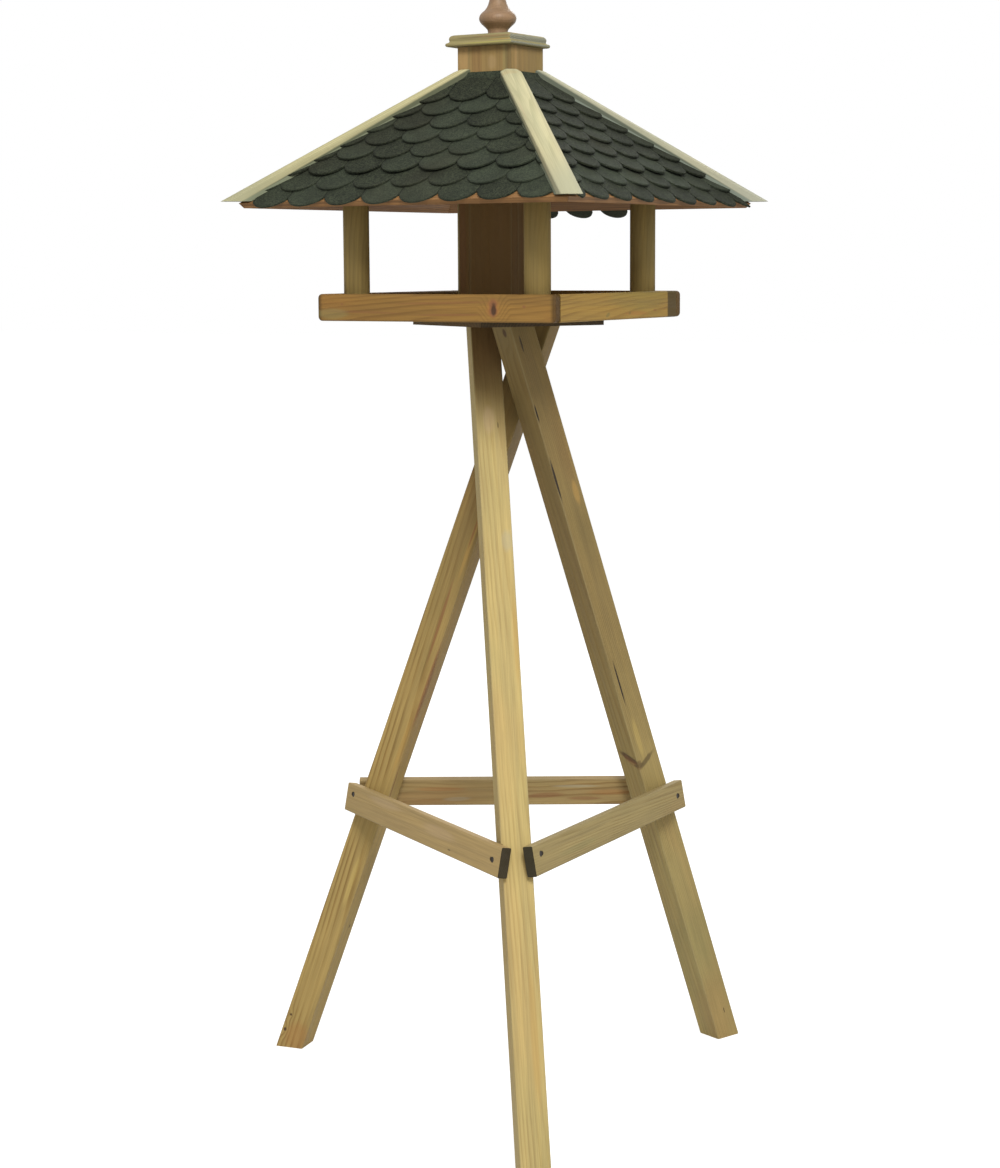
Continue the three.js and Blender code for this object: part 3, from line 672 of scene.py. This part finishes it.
STAND_LOOKS = {
    # The front leg's side that looks towards bare is painted lit and has no darker top
    "leg_front": {
        "tint": (0.815, 0.80, 0.785), "rings": 2.9 * MM, "grain": 0.45, "patches": 0.35,
        "stain_and_shade": (240, 50, 0.82), "bare": from_view(-1, 0, 0),
    },
    "leg_right": {"tint": (0.67, 0.665, 0.64), "rings": 3.3 * MM, "stain_and_shade": (1000, 380, 0.48), "grain": 0.5},
    "leg_left": {"tint": (0.69, 0.62, 0.525), "rings": 3.8 * MM, "stain_and_shade": (900, 200, 0.35), "grain": 1.0},
    "rail_right": {"tint": (0.585, 0.58, 0.62), "rings": 2.4 * MM, "grain": 0.65, "patches": 0.3},
    "rail_back": {"tint": (0.60, 0.545, 0.56), "rings": 4.6 * MM, "grain": 0.95, "waver": 22 * MM},
    "rail_left": {"tint": (0.695, 0.63, 0.665), "rings": 3.0 * MM, "grain": 0.15, "patches": 0.3},
}
STAND_GRAIN = {"waver": 5 * MM, "tilt": (0.012, 0.010)}
RAIL_EASE = 2.8 * MM
RAIL_EASE_FROM = 65

for seed, (node, look) in enumerate(STAND_LOOKS.items(), SEEDS["stand"]):
    place, half = board_frame(node, FRONT)
    settings = {**STAND_GRAIN, **look}
    if "stain_and_shade" in look:
        settings["stain_and_shade"] = from_end(half, look["stain_and_shade"])
    dress(nodes[node], wood(node, "stand", place, half.yz, seed, STAND_MARKS[node], **settings))
    if node.startswith("rail"):
        soften(nodes[node], RAIL_EASE, RAIL_EASE_FROM)
    else:
        soften(nodes[node])

# The tray's rim. Its front and back boards lap the others and show their rounded dark ends.
LAPPING_RIMS = ("front", "back")
RIM_CORNER = 6.5 * MM
RIM_EDGE = 2.6 * MM
CORNER_STEPS = 6
# How far an eased edge is set in from the side, and how far it lies below the wide face
EASE_PROFILE = ((1.0, 0.0), (0.52, 0.12), (0.25, 0.34), (0.04, 0.72), (0.0, 1.0))
RIM_LOOK = {"rings": 3.4 * MM, "grain": 0.55, "patches": 0.9, "wear": 0.55}
RIM_STAIN = (32.5, 28, 0.95)
RIM_TIPS = (10, 2, 0.9)
RIM_MARKS = {
    "front": (
        (493, 309, 13, 14, 0.45, "halo"), (493, 309, 8.0, 15, 0.90, "red"),
        (493.5, 310, 5.0, 10.0, 1.0, "knot"), (524, 307, 3.4, 2.6, 0.75, "red"),
        (440, 303, 90, 2.2, 0.40, "red", 0.02), (360, 312, 70, 2.0, 0.35, "red", -0.02),
        (332, 314, 30, 9, 0.30, "olive"), (450, 315, 60, 1.8, 0.50, "red", 0.01),
        (342, 304, 3.0, 2.2, 0.50, "red"),
    ),
    "right": (
        (637, 313, 44, 4.0, 0.40, "halo"), (608, 315, 7, 3.5, 0.45, "green", 0.3),
        (630, 313, 5, 2.5, 0.40, "green", 0.2), (655, 310, 8, 2.0, 0.55, "red"),
    ),
}
RIM_TINTS = {
    "front": (0.69, 0.62, 0.465), "right": (0.93, 0.94, 0.70), "back": (0.85, 0.80, 0.65),
    "left": (0.85, 0.80, 0.65),
}


def eased_rim(node, place, half):
    """A piece in place of a rim board, with rounded corners and eased edges."""
    outer = [(RIM_EDGE * inset, half.z - RIM_EDGE * sink) for inset, sink in reversed(EASE_PROFILE)]
    inner = [(inset, -level) for inset, level in reversed(outer)]
    mesh = bmesh.new()
    rings = []
    for inset, level in inner + outer:
        ring = rounded_ring(half.x, half.y, level, RIM_CORNER, RIM_CORNER - inset, CORNER_STEPS)
        rings.append([mesh.verts.new(place @ spot) for spot in ring])
    join_rings(mesh, rings, (rings[0], rings[-1]))
    return new_piece(f"eased_{node}", mesh, "table", "tray_pine", node)


for i, side in enumerate(SIDES):
    node = f"rim_{side}"
    place, half = board_frame(node, side_direction(i))
    look = {**RIM_LOOK, "tint": RIM_TINTS[side]}
    if side == "right":
        look["stain_and_shade"] = from_end(half, RIM_STAIN)
    if side in LAPPING_RIMS:
        look["tips"] = from_end(half, RIM_TIPS)
    material = wood(node, "tray", place, half.yz, SEEDS["rim"] + i, RIM_MARKS.get(side, ()), **look)
    if side in LAPPING_RIMS:
        dress(eased_rim(node, place, half), material)
    else:
        dress(nodes[node], material)
        soften(nodes[node])

# The silo's boards, with painted shade under the roof: darker from 40 mm to 130 mm below the roof's top and
# down
SILO_LOOK = {"rings": 7.5 * MM, "grain": 0.22}
SILO_SHADE = (40 * MM, 130 * MM, 0.8)
SILO_MARKS = {
    "silo_board_left": (
        (464, 57, 40, 11, 0.55, "tan"), (463, 250, 90, 7, 0.30, "red"),
    ),
    "silo_board_front": (
        (516, 57, 40, 5, 0.45, "tan"), (477, 57, 60, 10, 0.22, "red"),
        (492, 62, 14, 8, 0.14, "pink"), (505, 57, 60, 5, 0.30, "olive"),
        (511, 57, 40, 1.5, 0.60, "shade"),
    ),
}
for i, side in enumerate(SIDES):
    node = f"silo_board_{side}"
    place, half = board_frame(node, side_direction(i), UP)
    start, full, strength = SILO_SHADE
    roof_level = panel_high.z - silo_middle
    look = {**SILO_LOOK, "stain_and_shade": (roof_level - start, roof_level - full, strength)}
    marks = SILO_MARKS.get(node, ())
    dress(nodes[node], wood(node, "silo", place, half.yz, SEEDS["silo"] + i, marks, **look))

# The roof's panels are sawn: the tone of the ends all over
PANEL_LOOK = {"end_share": -1, "tint": (0.86, 0.89, 0.75)}
for i, side in enumerate(SIDES):
    node = f"roof_panel_{side}"
    place, half = board_frame(node, roof_direction(i), side_direction(i).cross(UP))
    dress(nodes[node], wood(node, "panel", place, seed=SEEDS["panel"] + i, **PANEL_LOOK))

# Boards that the photograph hides, with their style
HIDDEN_BOARDS = {"mounting_plate": "plate", "tray_floor": "tray", "lid_plug": "stand"}
for seed, (node, style) in enumerate(HIDDEN_BOARDS.items(), SEEDS["hidden"]):
    place, half = board_frame(node, UP, RIGHT)
    dress(nodes[node], wood(node, style, place, half.yz, seed))


def turned_mesh(centre, profile, sides):
    """A profile of (radius, height) turned about an upright axis."""
    mesh = bmesh.new()
    rings = []
    for radius, height in profile:
        ring = []
        for k in range(sides if radius else 1):
            angle = 2 * math.pi * k / sides
            spot = Vector((radius * math.cos(angle), radius * math.sin(angle), height))
            ring.append(mesh.verts.new(centre + spot))
        rings.append(ring)
    for lower, upper in zip(rings, rings[1:]):
        for k in range(sides):
            a, b = lower[k % len(lower)], lower[(k + 1) % len(lower)]
            c, d = upper[(k + 1) % len(upper)], upper[k % len(upper)]
            mesh.faces.new(list(dict.fromkeys((a, b, c, d))))
    for face in mesh.faces:
        face.smooth = True
    return mesh


def upright_frame(centre):
    """The frame of turned or upright wood: its grain runs up."""
    matrix = Matrix.Rotation(-QUARTER, 4, "Y")
    matrix.translation = centre
    return matrix


# Posts: round poles, cut to the undersides of the two panels above them
POST_SIDES = 64
POST_EASE = 1.2 * MM
POST_LOOK = {"pith": (5 * MM, -7 * MM), "rings": 2.8 * MM, "grain": 0.35}


def add_post(i, corner):
    node = f"post_{corner}"
    foot, radius, height = node_foot(node)
    top = height + radius
    profile = [(0, 0), (radius - POST_EASE, 0), (radius, POST_EASE), (radius, top), (0, top)]
    mesh = turned_mesh(foot, profile, POST_SIDES)
    for side in (i, i + 1):
        eave = eave_middle + side_direction(side) * eave_half
        slope = roof_direction(side)
        trim(mesh, eave - slope * (PANEL + SEAT_GAP), slope)
    piece = new_piece(f"round_{node}", mesh, "table", "post_pine", node)
    look = wood(node, "post", upright_frame(foot + UP * height / 2), seed=SEEDS["post"] + i, **POST_LOOK)
    dress(piece, look, look)


for i, corner in enumerate(CORNERS):
    add_post(i, corner)

# Finial: a smooth curve through the radii of the turned profile, from its foot up
FINIAL_SIDES = 72
FINIAL_STEPS = 6
FINIAL_TIP = 0.25
FINIAL_CURVE = (
    (14.6, 0.0), (15.3, 1.2), (15.1, 5.0), (15.0, 8.5), (16.2, 12.4), (20.8, 17.0), (25.6, 21.6),
    (27.9, 26.4), (27.9, 30.0), (26.6, 33.4), (23.8, 36.8), (19.2, 40.8), (15.9, 45.6), (13.8, 50.6),
    (12.3, 56.2), (12.0, 60.2), (13.6, 63.0), (14.9, 66.2), (14.2, 69.6), (10.4, 72.2), (5.0, 73.1),
)
FINIAL_LOOK = {"pith": (4 * MM, 3 * MM), "rings": 2.6 * MM, "roughness": 0.5, "end_share": 0.93}


def catmull_rom(a, b, c, d, t):
    """The curve's value at t from b to c, with a before them and d after."""
    linear = (c - a) * t
    square = (2 * a - 5 * b + 4 * c - d) * t ** 2
    cube = (3 * b - a - 3 * c + d) * t ** 3
    return 0.5 * (2 * b + linear + square + cube)


def smooth_profile(points, steps):
    """A smooth curve through the points, closed on the axis at both ends."""
    curve = [(0.0, points[0][1])]
    padded = (points[0],) + tuple(points) + (points[-1],)
    for near in zip(padded, padded[1:], padded[2:], padded[3:]):
        for step in range(steps):
            curve.append(tuple(catmull_rom(*values, step / steps) for values in zip(*near)))
    curve.append(points[-1])
    curve.append((0.0, points[-1][1] + FINIAL_TIP))
    return [(radius * MM, height * MM) for radius, height in curve]


def add_finial():
    foot, _, height = node_foot("finial")
    mesh = turned_mesh(foot, smooth_profile(FINIAL_CURVE, FINIAL_STEPS), FINIAL_SIDES)
    place = upright_frame(foot + UP * height / 2)
    piece = new_piece("turned_finial", mesh, "lid", "turned_pine", "finial")
    dress(piece, wood("finial", "turned", place, seed=SEEDS["finial"], **FINIAL_LOOK))


add_finial()

# Lid: a rounded lip, a small cove and a rounded top, as (inset, height) in mm
LID_LIP = ((-2.6, 0.0), (-1.0, 0.5), (-0.2, 1.6), (0.0, 2.9), (-0.3, 4.2), (-1.2, 5.2), (-2.6, 5.8))
LID_COVE = ((-3.8, 6.3), (-4.5, 7.2), (-4.7, 8.4), (-4.3, 9.7))
LID_TOP = ((-4.1, 11.4), (-4.4, 13.2), (-5.4, 15.0), (-7.0, 16.3), (-9.4, 17.1), (-13.0, 17.4))
LID_CORNER = 3.2 * MM
LID_RINGS = 3.2 * MM
# The yellow-green line along the cove is a painted highlight
LID_MARKS = (
    (489, 41.8, 60, 1.3, 0.55, "cove_highlight"), (495, 35.5, 40, 2.0, 0.35, "red"),
    (470, 37.5, 26, 1.6, 0.45, "shade"), (500, 38.5, 24, 1.4, 0.45, "amber"),
)
SQUARE_STEPS = 4


def square_mesh(centre, profile, ease, capped=True):
    """A profile of (half width, height) carried round a square with eased corners."""
    mesh = bmesh.new()
    rings = []
    for half, height in profile:
        ring = rounded_ring(half, half, height, ease, ease, SQUARE_STEPS)
        rings.append([mesh.verts.new(centre + spot) for spot in ring])
    if capped:
        join_rings(mesh, rings, (rings[0], rings[-1]))
    else:
        join_rings(mesh, rings + rings[:1])
    return mesh


def add_lid():
    foot, half, _ = node_foot("lid")
    profile = [(half + inset * MM, height * MM) for inset, height in LID_LIP + LID_COVE + LID_TOP]
    piece = new_piece("moulded_lid", square_mesh(foot, profile, LID_CORNER), "lid", "tray_pine", "lid")
    place = Matrix.Translation(foot)
    dress(piece, wood("lid", "lid", place, seed=SEEDS["lid"], marks=LID_MARKS, rings=LID_RINGS))


add_lid()

# Hip battens: bevelled strips, cut level at their lower ends
BATTEN_HALF = 16 * MM
BATTEN_RISE = 15.0 * MM
BATTEN_LEVEL = 2.8 * MM
BATTEN_SINK = 2.0 * MM
HIP_SLOPE = math.atan(math.tan(ROOF_PITCH) / math.sqrt(2))
HIP_COS = math.cos(HIP_SLOPE)
HIP_SIN = math.sin(HIP_SLOPE)
HIP_FALL = math.acos(PITCH_COS ** 2) / 2
BATTEN_TOP = ((1.0, -6.0), (0.985, -4.6), (0.93, -3.5), (0.6, -0.9), (0.5, -0.35), (0.4, -0.1), (0.0, 0.0))
BATTEN_STEPS = 24
# Its rounded top end: how far from the end, and how much lower the upper face is there
BATTEN_END = ((0.0, 4.4), (1.5, 2.9), (4.0, 1.5), (7.5, 0.5), (12.0, 0.0))
# The near batten ends square against the silo's corner, and its end is rounded less
SQUARE_BATTEN = "front_right"
SQUARE_EASE = 0.4
# How far up the hip from the eave's corner the origin of a batten's wood lies
BATTEN_ORIGIN = 150 * MM
# The skirt is painted shade: the battens' lower sides darker and greener beside the shingles
BATTEN_LOOK = {
    "rings": 1.7 * MM, "grain": 0.5, "patches": 0.5, "wear": 0.5, "end_share": 0.4,
    "pith": (5 * MM, -40 * MM), "tilt": (0.004, 0.014), "waver": 6 * MM,
    "shaded_skirt": (-5.6 * MM, -2.4 * MM, 0.021, 0.95), "stain_and_shade": (20 * MM, BATTEN_ORIGIN, 0.8),
}
BATTEN_TINTS = {"front_left": (0.94, 0.93, 0.85), "back_right": (0.95, 0.98, 1.14)}
BATTEN_MARKS = {
    "front_right": (
        (508.5, 71, 7, 18, 0.22, "tan"), (523, 110, 40, 1.4, 0.20, "pink"),
    ),
}


def batten_mesh(i):
    """Along the hip between sides i and i + 1, with its top end notched round the silo's corner.
    The section is (across, up from the hip's edge). Gives the mesh and the frame of its wood."""
    notch, ease = (0, SQUARE_EASE) if CORNERS[i] == SQUARE_BATTEN else (1, 1)
    outward = (side_direction(i) + side_direction(i + 1)).normalized()
    down = outward * HIP_COS - UP * HIP_SIN
    normal = outward * HIP_SIN + UP * HIP_COS
    across = normal.cross(down)
    upper = [(share * BATTEN_HALF, BATTEN_RISE + drop * MM) for share, drop in BATTEN_TOP]
    section = upper + [(-x, rise) for x, rise in upper[-2::-1]]
    edge = BATTEN_SINK - BATTEN_HALF * math.tan(HIP_FALL)
    section += [(-BATTEN_HALF, edge), (0, BATTEN_SINK), (BATTEN_HALF, edge)]
    corner = eave_half * math.sqrt(2)
    hip_foot = eave_middle + outward * corner
    start = -(corner - throat_half * math.sqrt(2)) / HIP_COS
    stations = [(at * MM, 0.0, drop * ease * MM) for at, drop in BATTEN_END]
    near = stations[-1][0]
    stations += [(near, step / BATTEN_STEPS, 0.0) for step in range(1, BATTEN_STEPS + 1)]
    mesh = bmesh.new()
    rings = []
    for at, share, drop in stations:
        ring = []
        for x, full_rise in section:
            rise = full_rise - drop * (full_rise - edge) / (BATTEN_RISE - edge)
            head = start - notch * abs(x) / HIP_COS - rise * math.tan(HIP_SLOPE) + at
            foot = (rise * HIP_COS - BATTEN_LEVEL) / HIP_SIN
            along = head + (foot - head) * share
            ring.append(mesh.verts.new(hip_foot + down * along + across * x + normal * rise))
        rings.append(ring)
    ridge, trough = len(upper) - 1, len(section) - 2
    end_halves = (rings[0][ridge:trough + 1], rings[0][trough:] + rings[0][:ridge + 1])
    join_rings(mesh, rings, (*end_halves, rings[-1]))
    place = axes_frame((down, across, normal), hip_foot + normal * BATTEN_RISE / 2 - down * BATTEN_ORIGIN)
    return mesh, place


def add_batten(i, corner):
    node = f"hip_batten_{corner}"
    mesh, place = batten_mesh(i)
    piece = new_piece(f"shaped_{node}", mesh, "table", "batten_pine", node)
    look = {**BATTEN_LOOK, "tint": BATTEN_TINTS.get(corner, (1, 1, 1)), "marks": BATTEN_MARKS.get(corner, ())}
    edges = (BATTEN_HALF, BATTEN_RISE / 2)
    dress(piece, wood(node, "batten", place, edges, SEEDS["batten"] + i, **look))


for i, corner in enumerate(CORNERS):
    add_batten(i, corner)

# Shingles: each tab is a sheet of its own, nested on the rows below it
ROW_PITCH = 34.8 * MM
TAB_WIDTH = 64.6 * MM
SCALLOP = 22 * MM
SHEET = 2.6 * MM
LAYERS = 3
TAB_COLUMNS = 16
TAB_ROWS = 6
TUCK = 14 * MM
TAB_LENGTH = 2 * ROW_PITCH + 6 * MM
SPARE_TABS = 4
# Tabs whose feet are nearer to the slope's top than this don't thin out upwards
TOP_ROWS = 1.9 * ROW_PITCH
# A side's shade darkens all its tabs: painted shade on the right side, which gets less light
FACES = (
    {"overhang": 10 * MM, "phase": 0.0, "turn": math.radians(1.2), "bare": 27 * MM},
    {"overhang": 10 * MM, "phase": 0.5, "turn": math.radians(-0.9), "shade": -0.35},
    {"overhang": 6 * MM, "phase": 0.0, "turn": 0.0},
    {"overhang": 4 * MM, "phase": 0.25, "turn": math.radians(0.4)},
)
# A strip of tabs on a roof side. Its slit is given where its tabs are narrow and end in half circles.
Strip = namedtuple("Strip", "start tabs foot layers length turn slit", defaults=(None,))
# The three tabs of the back's lowest strip
LOW_SIDE = 2
LOW_STRIP = Strip(-TAB_WIDTH, 3, -32 * MM, 1, 1.2 * ROW_PITCH, 0.0, 7.6 * MM)
SCALLOP_RADIUS = ((TAB_WIDTH / 2) ** 2 + SCALLOP ** 2) / (2 * SCALLOP)
HALF_CIRCLE = 1.01
ROW_BUNCHING = 1.4
SHEET_GAP = 0.25 * MM
SEAT = 0.12 * MM
# What varies from tab to tab: its slit, lift, warp and drop in mm, and the tones of tabs and strips
SLITS = (0.3, 0.9)
LIFTS = (0.7, 1.8)
WARPS = (-0.35, 0.35)
DROPS = (-0.6, 0.6)
TAB_TONES = (-0.8, 0.8)
STRIP_TONES = (-0.25, 0.25)


def border(grid):
    """The points round a grid of rows."""
    last = [line[-1] for line in grid[1:]]
    first = [line[0] for line in grid[-2:0:-1]]
    return grid[0] + last + grid[-1][-2::-1] + first


def tab_points(mesh, at, strip, jitter, level):
    """Rows of a tab's points from its lower end: its underside at level 0, its upper side at 1."""
    half = TAB_WIDTH / 2 - jitter["slit"]
    radius = HALF_CIRCLE * half if strip.slit else SCALLOP_RADIUS
    thins = 0 if strip.foot + TOP_ROWS > slope_length else 1
    rotation = Matrix.Rotation(strip.turn, 3, "Z")
    grid = []
    for row in range(TAB_ROWS + 1):
        share = (row / TAB_ROWS) ** ROW_BUNCHING
        line = []
        for column in range(TAB_COLUMNS + 1):
            u = 2 * column / TAB_COLUMNS - 1
            x = u * half
            arc = radius - math.sqrt(radius ** 2 - x ** 2)
            y = arc + (strip.length - arc) * share
            under = SHEET * max(0.0, strip.layers - 1 - thins * y / ROW_PITCH)
            free = max(0.0, 1 - y / ROW_PITCH)
            curl = jitter["lift"] * free ** 2
            warp = jitter["warp"] * u * free
            height = under + curl + warp + level * (SHEET - SHEET_GAP) + SEAT
            spot = Vector((at + TAB_WIDTH / 2 + x, strip.foot + y + jitter["drop"], height))
            line.append(mesh.verts.new(rotation @ spot))
        grid.append(line)
    return grid


def add_tab(mesh, tone_layer, at, strip, jitter, tone):
    """One tab, x along the eave and y up the slope. Its lower end lies on strip.layers - 1 sheets."""
    bottom, top = [tab_points(mesh, at, strip, jitter, level) for level in (0, 1)]

    def add_face(corners, material):
        face = mesh.faces.new(corners)
        face.material_index = material
        face.smooth = material == 0
        face[tone_layer] = tone

    for row in range(TAB_ROWS):
        for k in range(TAB_COLUMNS):
            n = k + 1
            add_face((top[row][k], top[row][n], top[row + 1][n], top[row + 1][k]), 0)
            add_face((bottom[row][k], bottom[row + 1][k], bottom[row + 1][n], bottom[row][n]), 1)
    upper, lower = border(top), border(bottom)
    for k in range(len(upper)):
        n = (k + 1) % len(upper)
        add_face((lower[k], lower[n], upper[n], upper[k]), 1)


def side_strips(i):
    """The strips of one roof side, from the eave up, and its low strip where it has one."""
    face = FACES[i]
    rows = math.floor((slope_length + face["overhang"]) / ROW_PITCH)
    tabs = 2 * math.ceil(eave_half / TAB_WIDTH) + SPARE_TABS
    strips = []
    for row in range(rows):
        start = -(tabs / 2 + face["phase"] + (row % 2) / 2) * TAB_WIDTH
        foot = row * ROW_PITCH - face["overhang"]
        length = slope_length - foot
        if row < rows - 1:
            length = min(length, TAB_LENGTH)
        strips.append(Strip(start, tabs, foot, min(row + 1, LAYERS), length, face["turn"]))
    if i == LOW_SIDE:
        strips.append(LOW_STRIP)
    return strips


def add_strip(mesh, tone_layer, strip, chance, shade):
    strip_tone = chance.uniform(*STRIP_TONES)
    for tab in range(strip.tabs):
        at = strip.start + tab * TAB_WIDTH
        jitter = {
            "slit": strip.slit or chance.uniform(*SLITS) * MM,
            "lift": chance.uniform(*LIFTS) * MM,
            "warp": chance.uniform(*WARPS) * MM,
            "drop": chance.uniform(*DROPS) * MM,
        }
        # shade is the side's painted shade, added to each tab's tone
        tone = chance.uniform(*TAB_TONES) + strip_tone + shade
        half_row = eave_half - strip.foot * PITCH_COS + TAB_WIDTH
        if abs(at + TAB_WIDTH / 2) <= half_row:
            add_tab(mesh, tone_layer, at, strip, jitter, tone)


def shingle_side(i, chance):
    """The tabs of one roof side, laid flat, trimmed to its outline and turned onto the roof."""
    face = FACES[i]
    mesh = bmesh.new()
    tone_layer = mesh.faces.layers.float.new("tone")
    for strip in side_strips(i):
        add_strip(mesh, tone_layer, strip, chance, face.get("shade", 0.0))
        if strip.layers == 1 and "bare" in face:
            trim(mesh, Vector((face["bare"] - eave_half, 0, 0)), Vector((-1, 0, 0)))
    shoulder = SCALLOP - face["overhang"] + eave_half * abs(math.sin(face["turn"]))
    for sign in (-1, 1):
        edge_at = eave_half - TUCK - shoulder * PITCH_COS
        trim(mesh, Vector((sign * edge_at, 0, 0)), Vector((sign, 0, 0)))
        hip = Vector((sign, PITCH_COS, 0)).normalized()
        trim(mesh, Vector((sign * (eave_half - TUCK), 0, 0)), hip)
    trim(mesh, Vector((0, slope_length, 0)), Vector((0, 1, 0)))
    turn = Matrix.Translation((house.x, house.y, 0)) @ Matrix.Rotation(i * QUARTER, 4, "Z")
    sunk = eave_half + SEAT_GAP * PITCH_SIN
    rise = Vector((0, -sunk, eave_top + SEAT_GAP * PITCH_COS))
    matrix = turn @ Matrix.Translation(rise) @ Matrix.Rotation(ROOF_PITCH, 4, "X")
    bmesh.ops.transform(mesh, matrix=matrix, verts=mesh.verts)
    return mesh


# Tones of the felt's granules, its cut edges and the screws
FELT_TONES = {
    "dark": (0.010, 0.0128, 0.0070, 1), "light": (0.042, 0.049, 0.0275, 1),
    "green": (0.030, 0.038, 0.0255, 1), "brown": (0.031, 0.029, 0.0165, 1),
    "pale": (0.13, 0.14, 0.10, 1),
}
EDGE_TONES = ((0.008, 0.008, 0.007, 1), (0.024, 0.024, 0.020, 1))
STEEL_TONES = ((0.020, 0.017, 0.013, 1), (0.030, 0.019, 0.012, 1))


def shingle_material():
    """Bitumen felt faced with mineral granules, each tab a shade of its own."""
    material, g = new_material("bitumen_shingle")
    position = g.node("TexCoord").outputs["Object"]
    tone = g.node("Attribute", attribute_name="tone").outputs["Fac"]
    grains = g.node("TexVoronoi", {"Vector": position, "Scale": 620.0}).outputs
    sparkle = g.split(grains["Color"])[0]
    speck = g.noise(position, 900.0, 2.0)
    cloud = g.noise(position, 22.0, 3.0)
    base = g.blend(g.steps(sparkle, 0.1, 0.95), FELT_TONES["dark"], FELT_TONES["light"])
    base = g.blend(g.times(g.steps(tone, -1.0, 1.0), 0.55), base, FELT_TONES["green"])
    brown = g.steps(g.noise(position, 7.0), 0.5, 0.75, 0.0, 0.4)
    base = g.blend(brown, base, FELT_TONES["brown"])
    light = g.times(g.steps(tone, -1.0, 1.0, 0.78, 1.24), g.steps(cloud, 0.3, 0.7, 0.82, 1.18))
    base = g.lit(base, light)
    base = g.blend(g.steps(speck, 0.66, 0.74, 0.0, 0.5), base, FELT_TONES["pale"])
    finish_material(g, base, 0.92, g.plus(sparkle, speck), 0.5 * MM, specular=0.2)
    return material


def cut_edge_material():
    material, g = new_material("bitumen_edge")
    position = g.node("TexCoord").outputs["Object"]
    cloud = g.noise(position, 300.0, 3.0)
    finish_material(g, g.blend(cloud, *EDGE_TONES), 0.85, cloud, 0.3 * MM, specular=0.2)
    return material


# A strip of felt turned up against the silo, over the topmost tabs, as (out from the silo, rise) in mm
COLLAR = ((9.0, -6.4), (5.6, -2.6), (3.6, 0.6), (2.9, 3.2), (0.4, 3.4), (0.4, -4.0), (9.0, -8.4))
COLLAR_CORNER = 1.5 * MM


def collar_mesh():
    level = eave_top + slope_length * PITCH_SIN + LAYERS * SHEET / PITCH_COS
    profile = [(silo_half + out * MM, rise * MM) for out, rise in COLLAR]
    return square_mesh(Vector((house.x, house.y, level)), profile, COLLAR_CORNER, capped=False)


chance = random.Random(SEED)
granules = shingle_material()
cut_edge = cut_edge_material()
for i, side in enumerate(SIDES):
    tabs = new_piece(f"tabs_{side}", shingle_side(i, chance), "table", "bitumen_shingle", f"shingles_{side}")
    dress(tabs, granules, cut_edge)
dress(new_piece("felt_collar", collar_mesh(), "table", "bitumen_shingle"), granules)


def steel_material():
    material, g = new_material("screw_steel")
    position = g.node("TexCoord").outputs["Object"]
    rust = g.noise(position, 260.0, 3.0)
    colour = g.blend(g.steps(rust, 0.35, 0.7), *STEEL_TONES)
    shader = finish_material(g, colour, g.steps(rust, 0.3, 0.7, 0.38, 0.65), rust, 0.1 * MM)
    shader.inputs["Metallic"].default_value = 0.4
    return material


steel = steel_material()
for name, thing in nodes.items():
    if "screw" in name:
        dress(thing, steel)
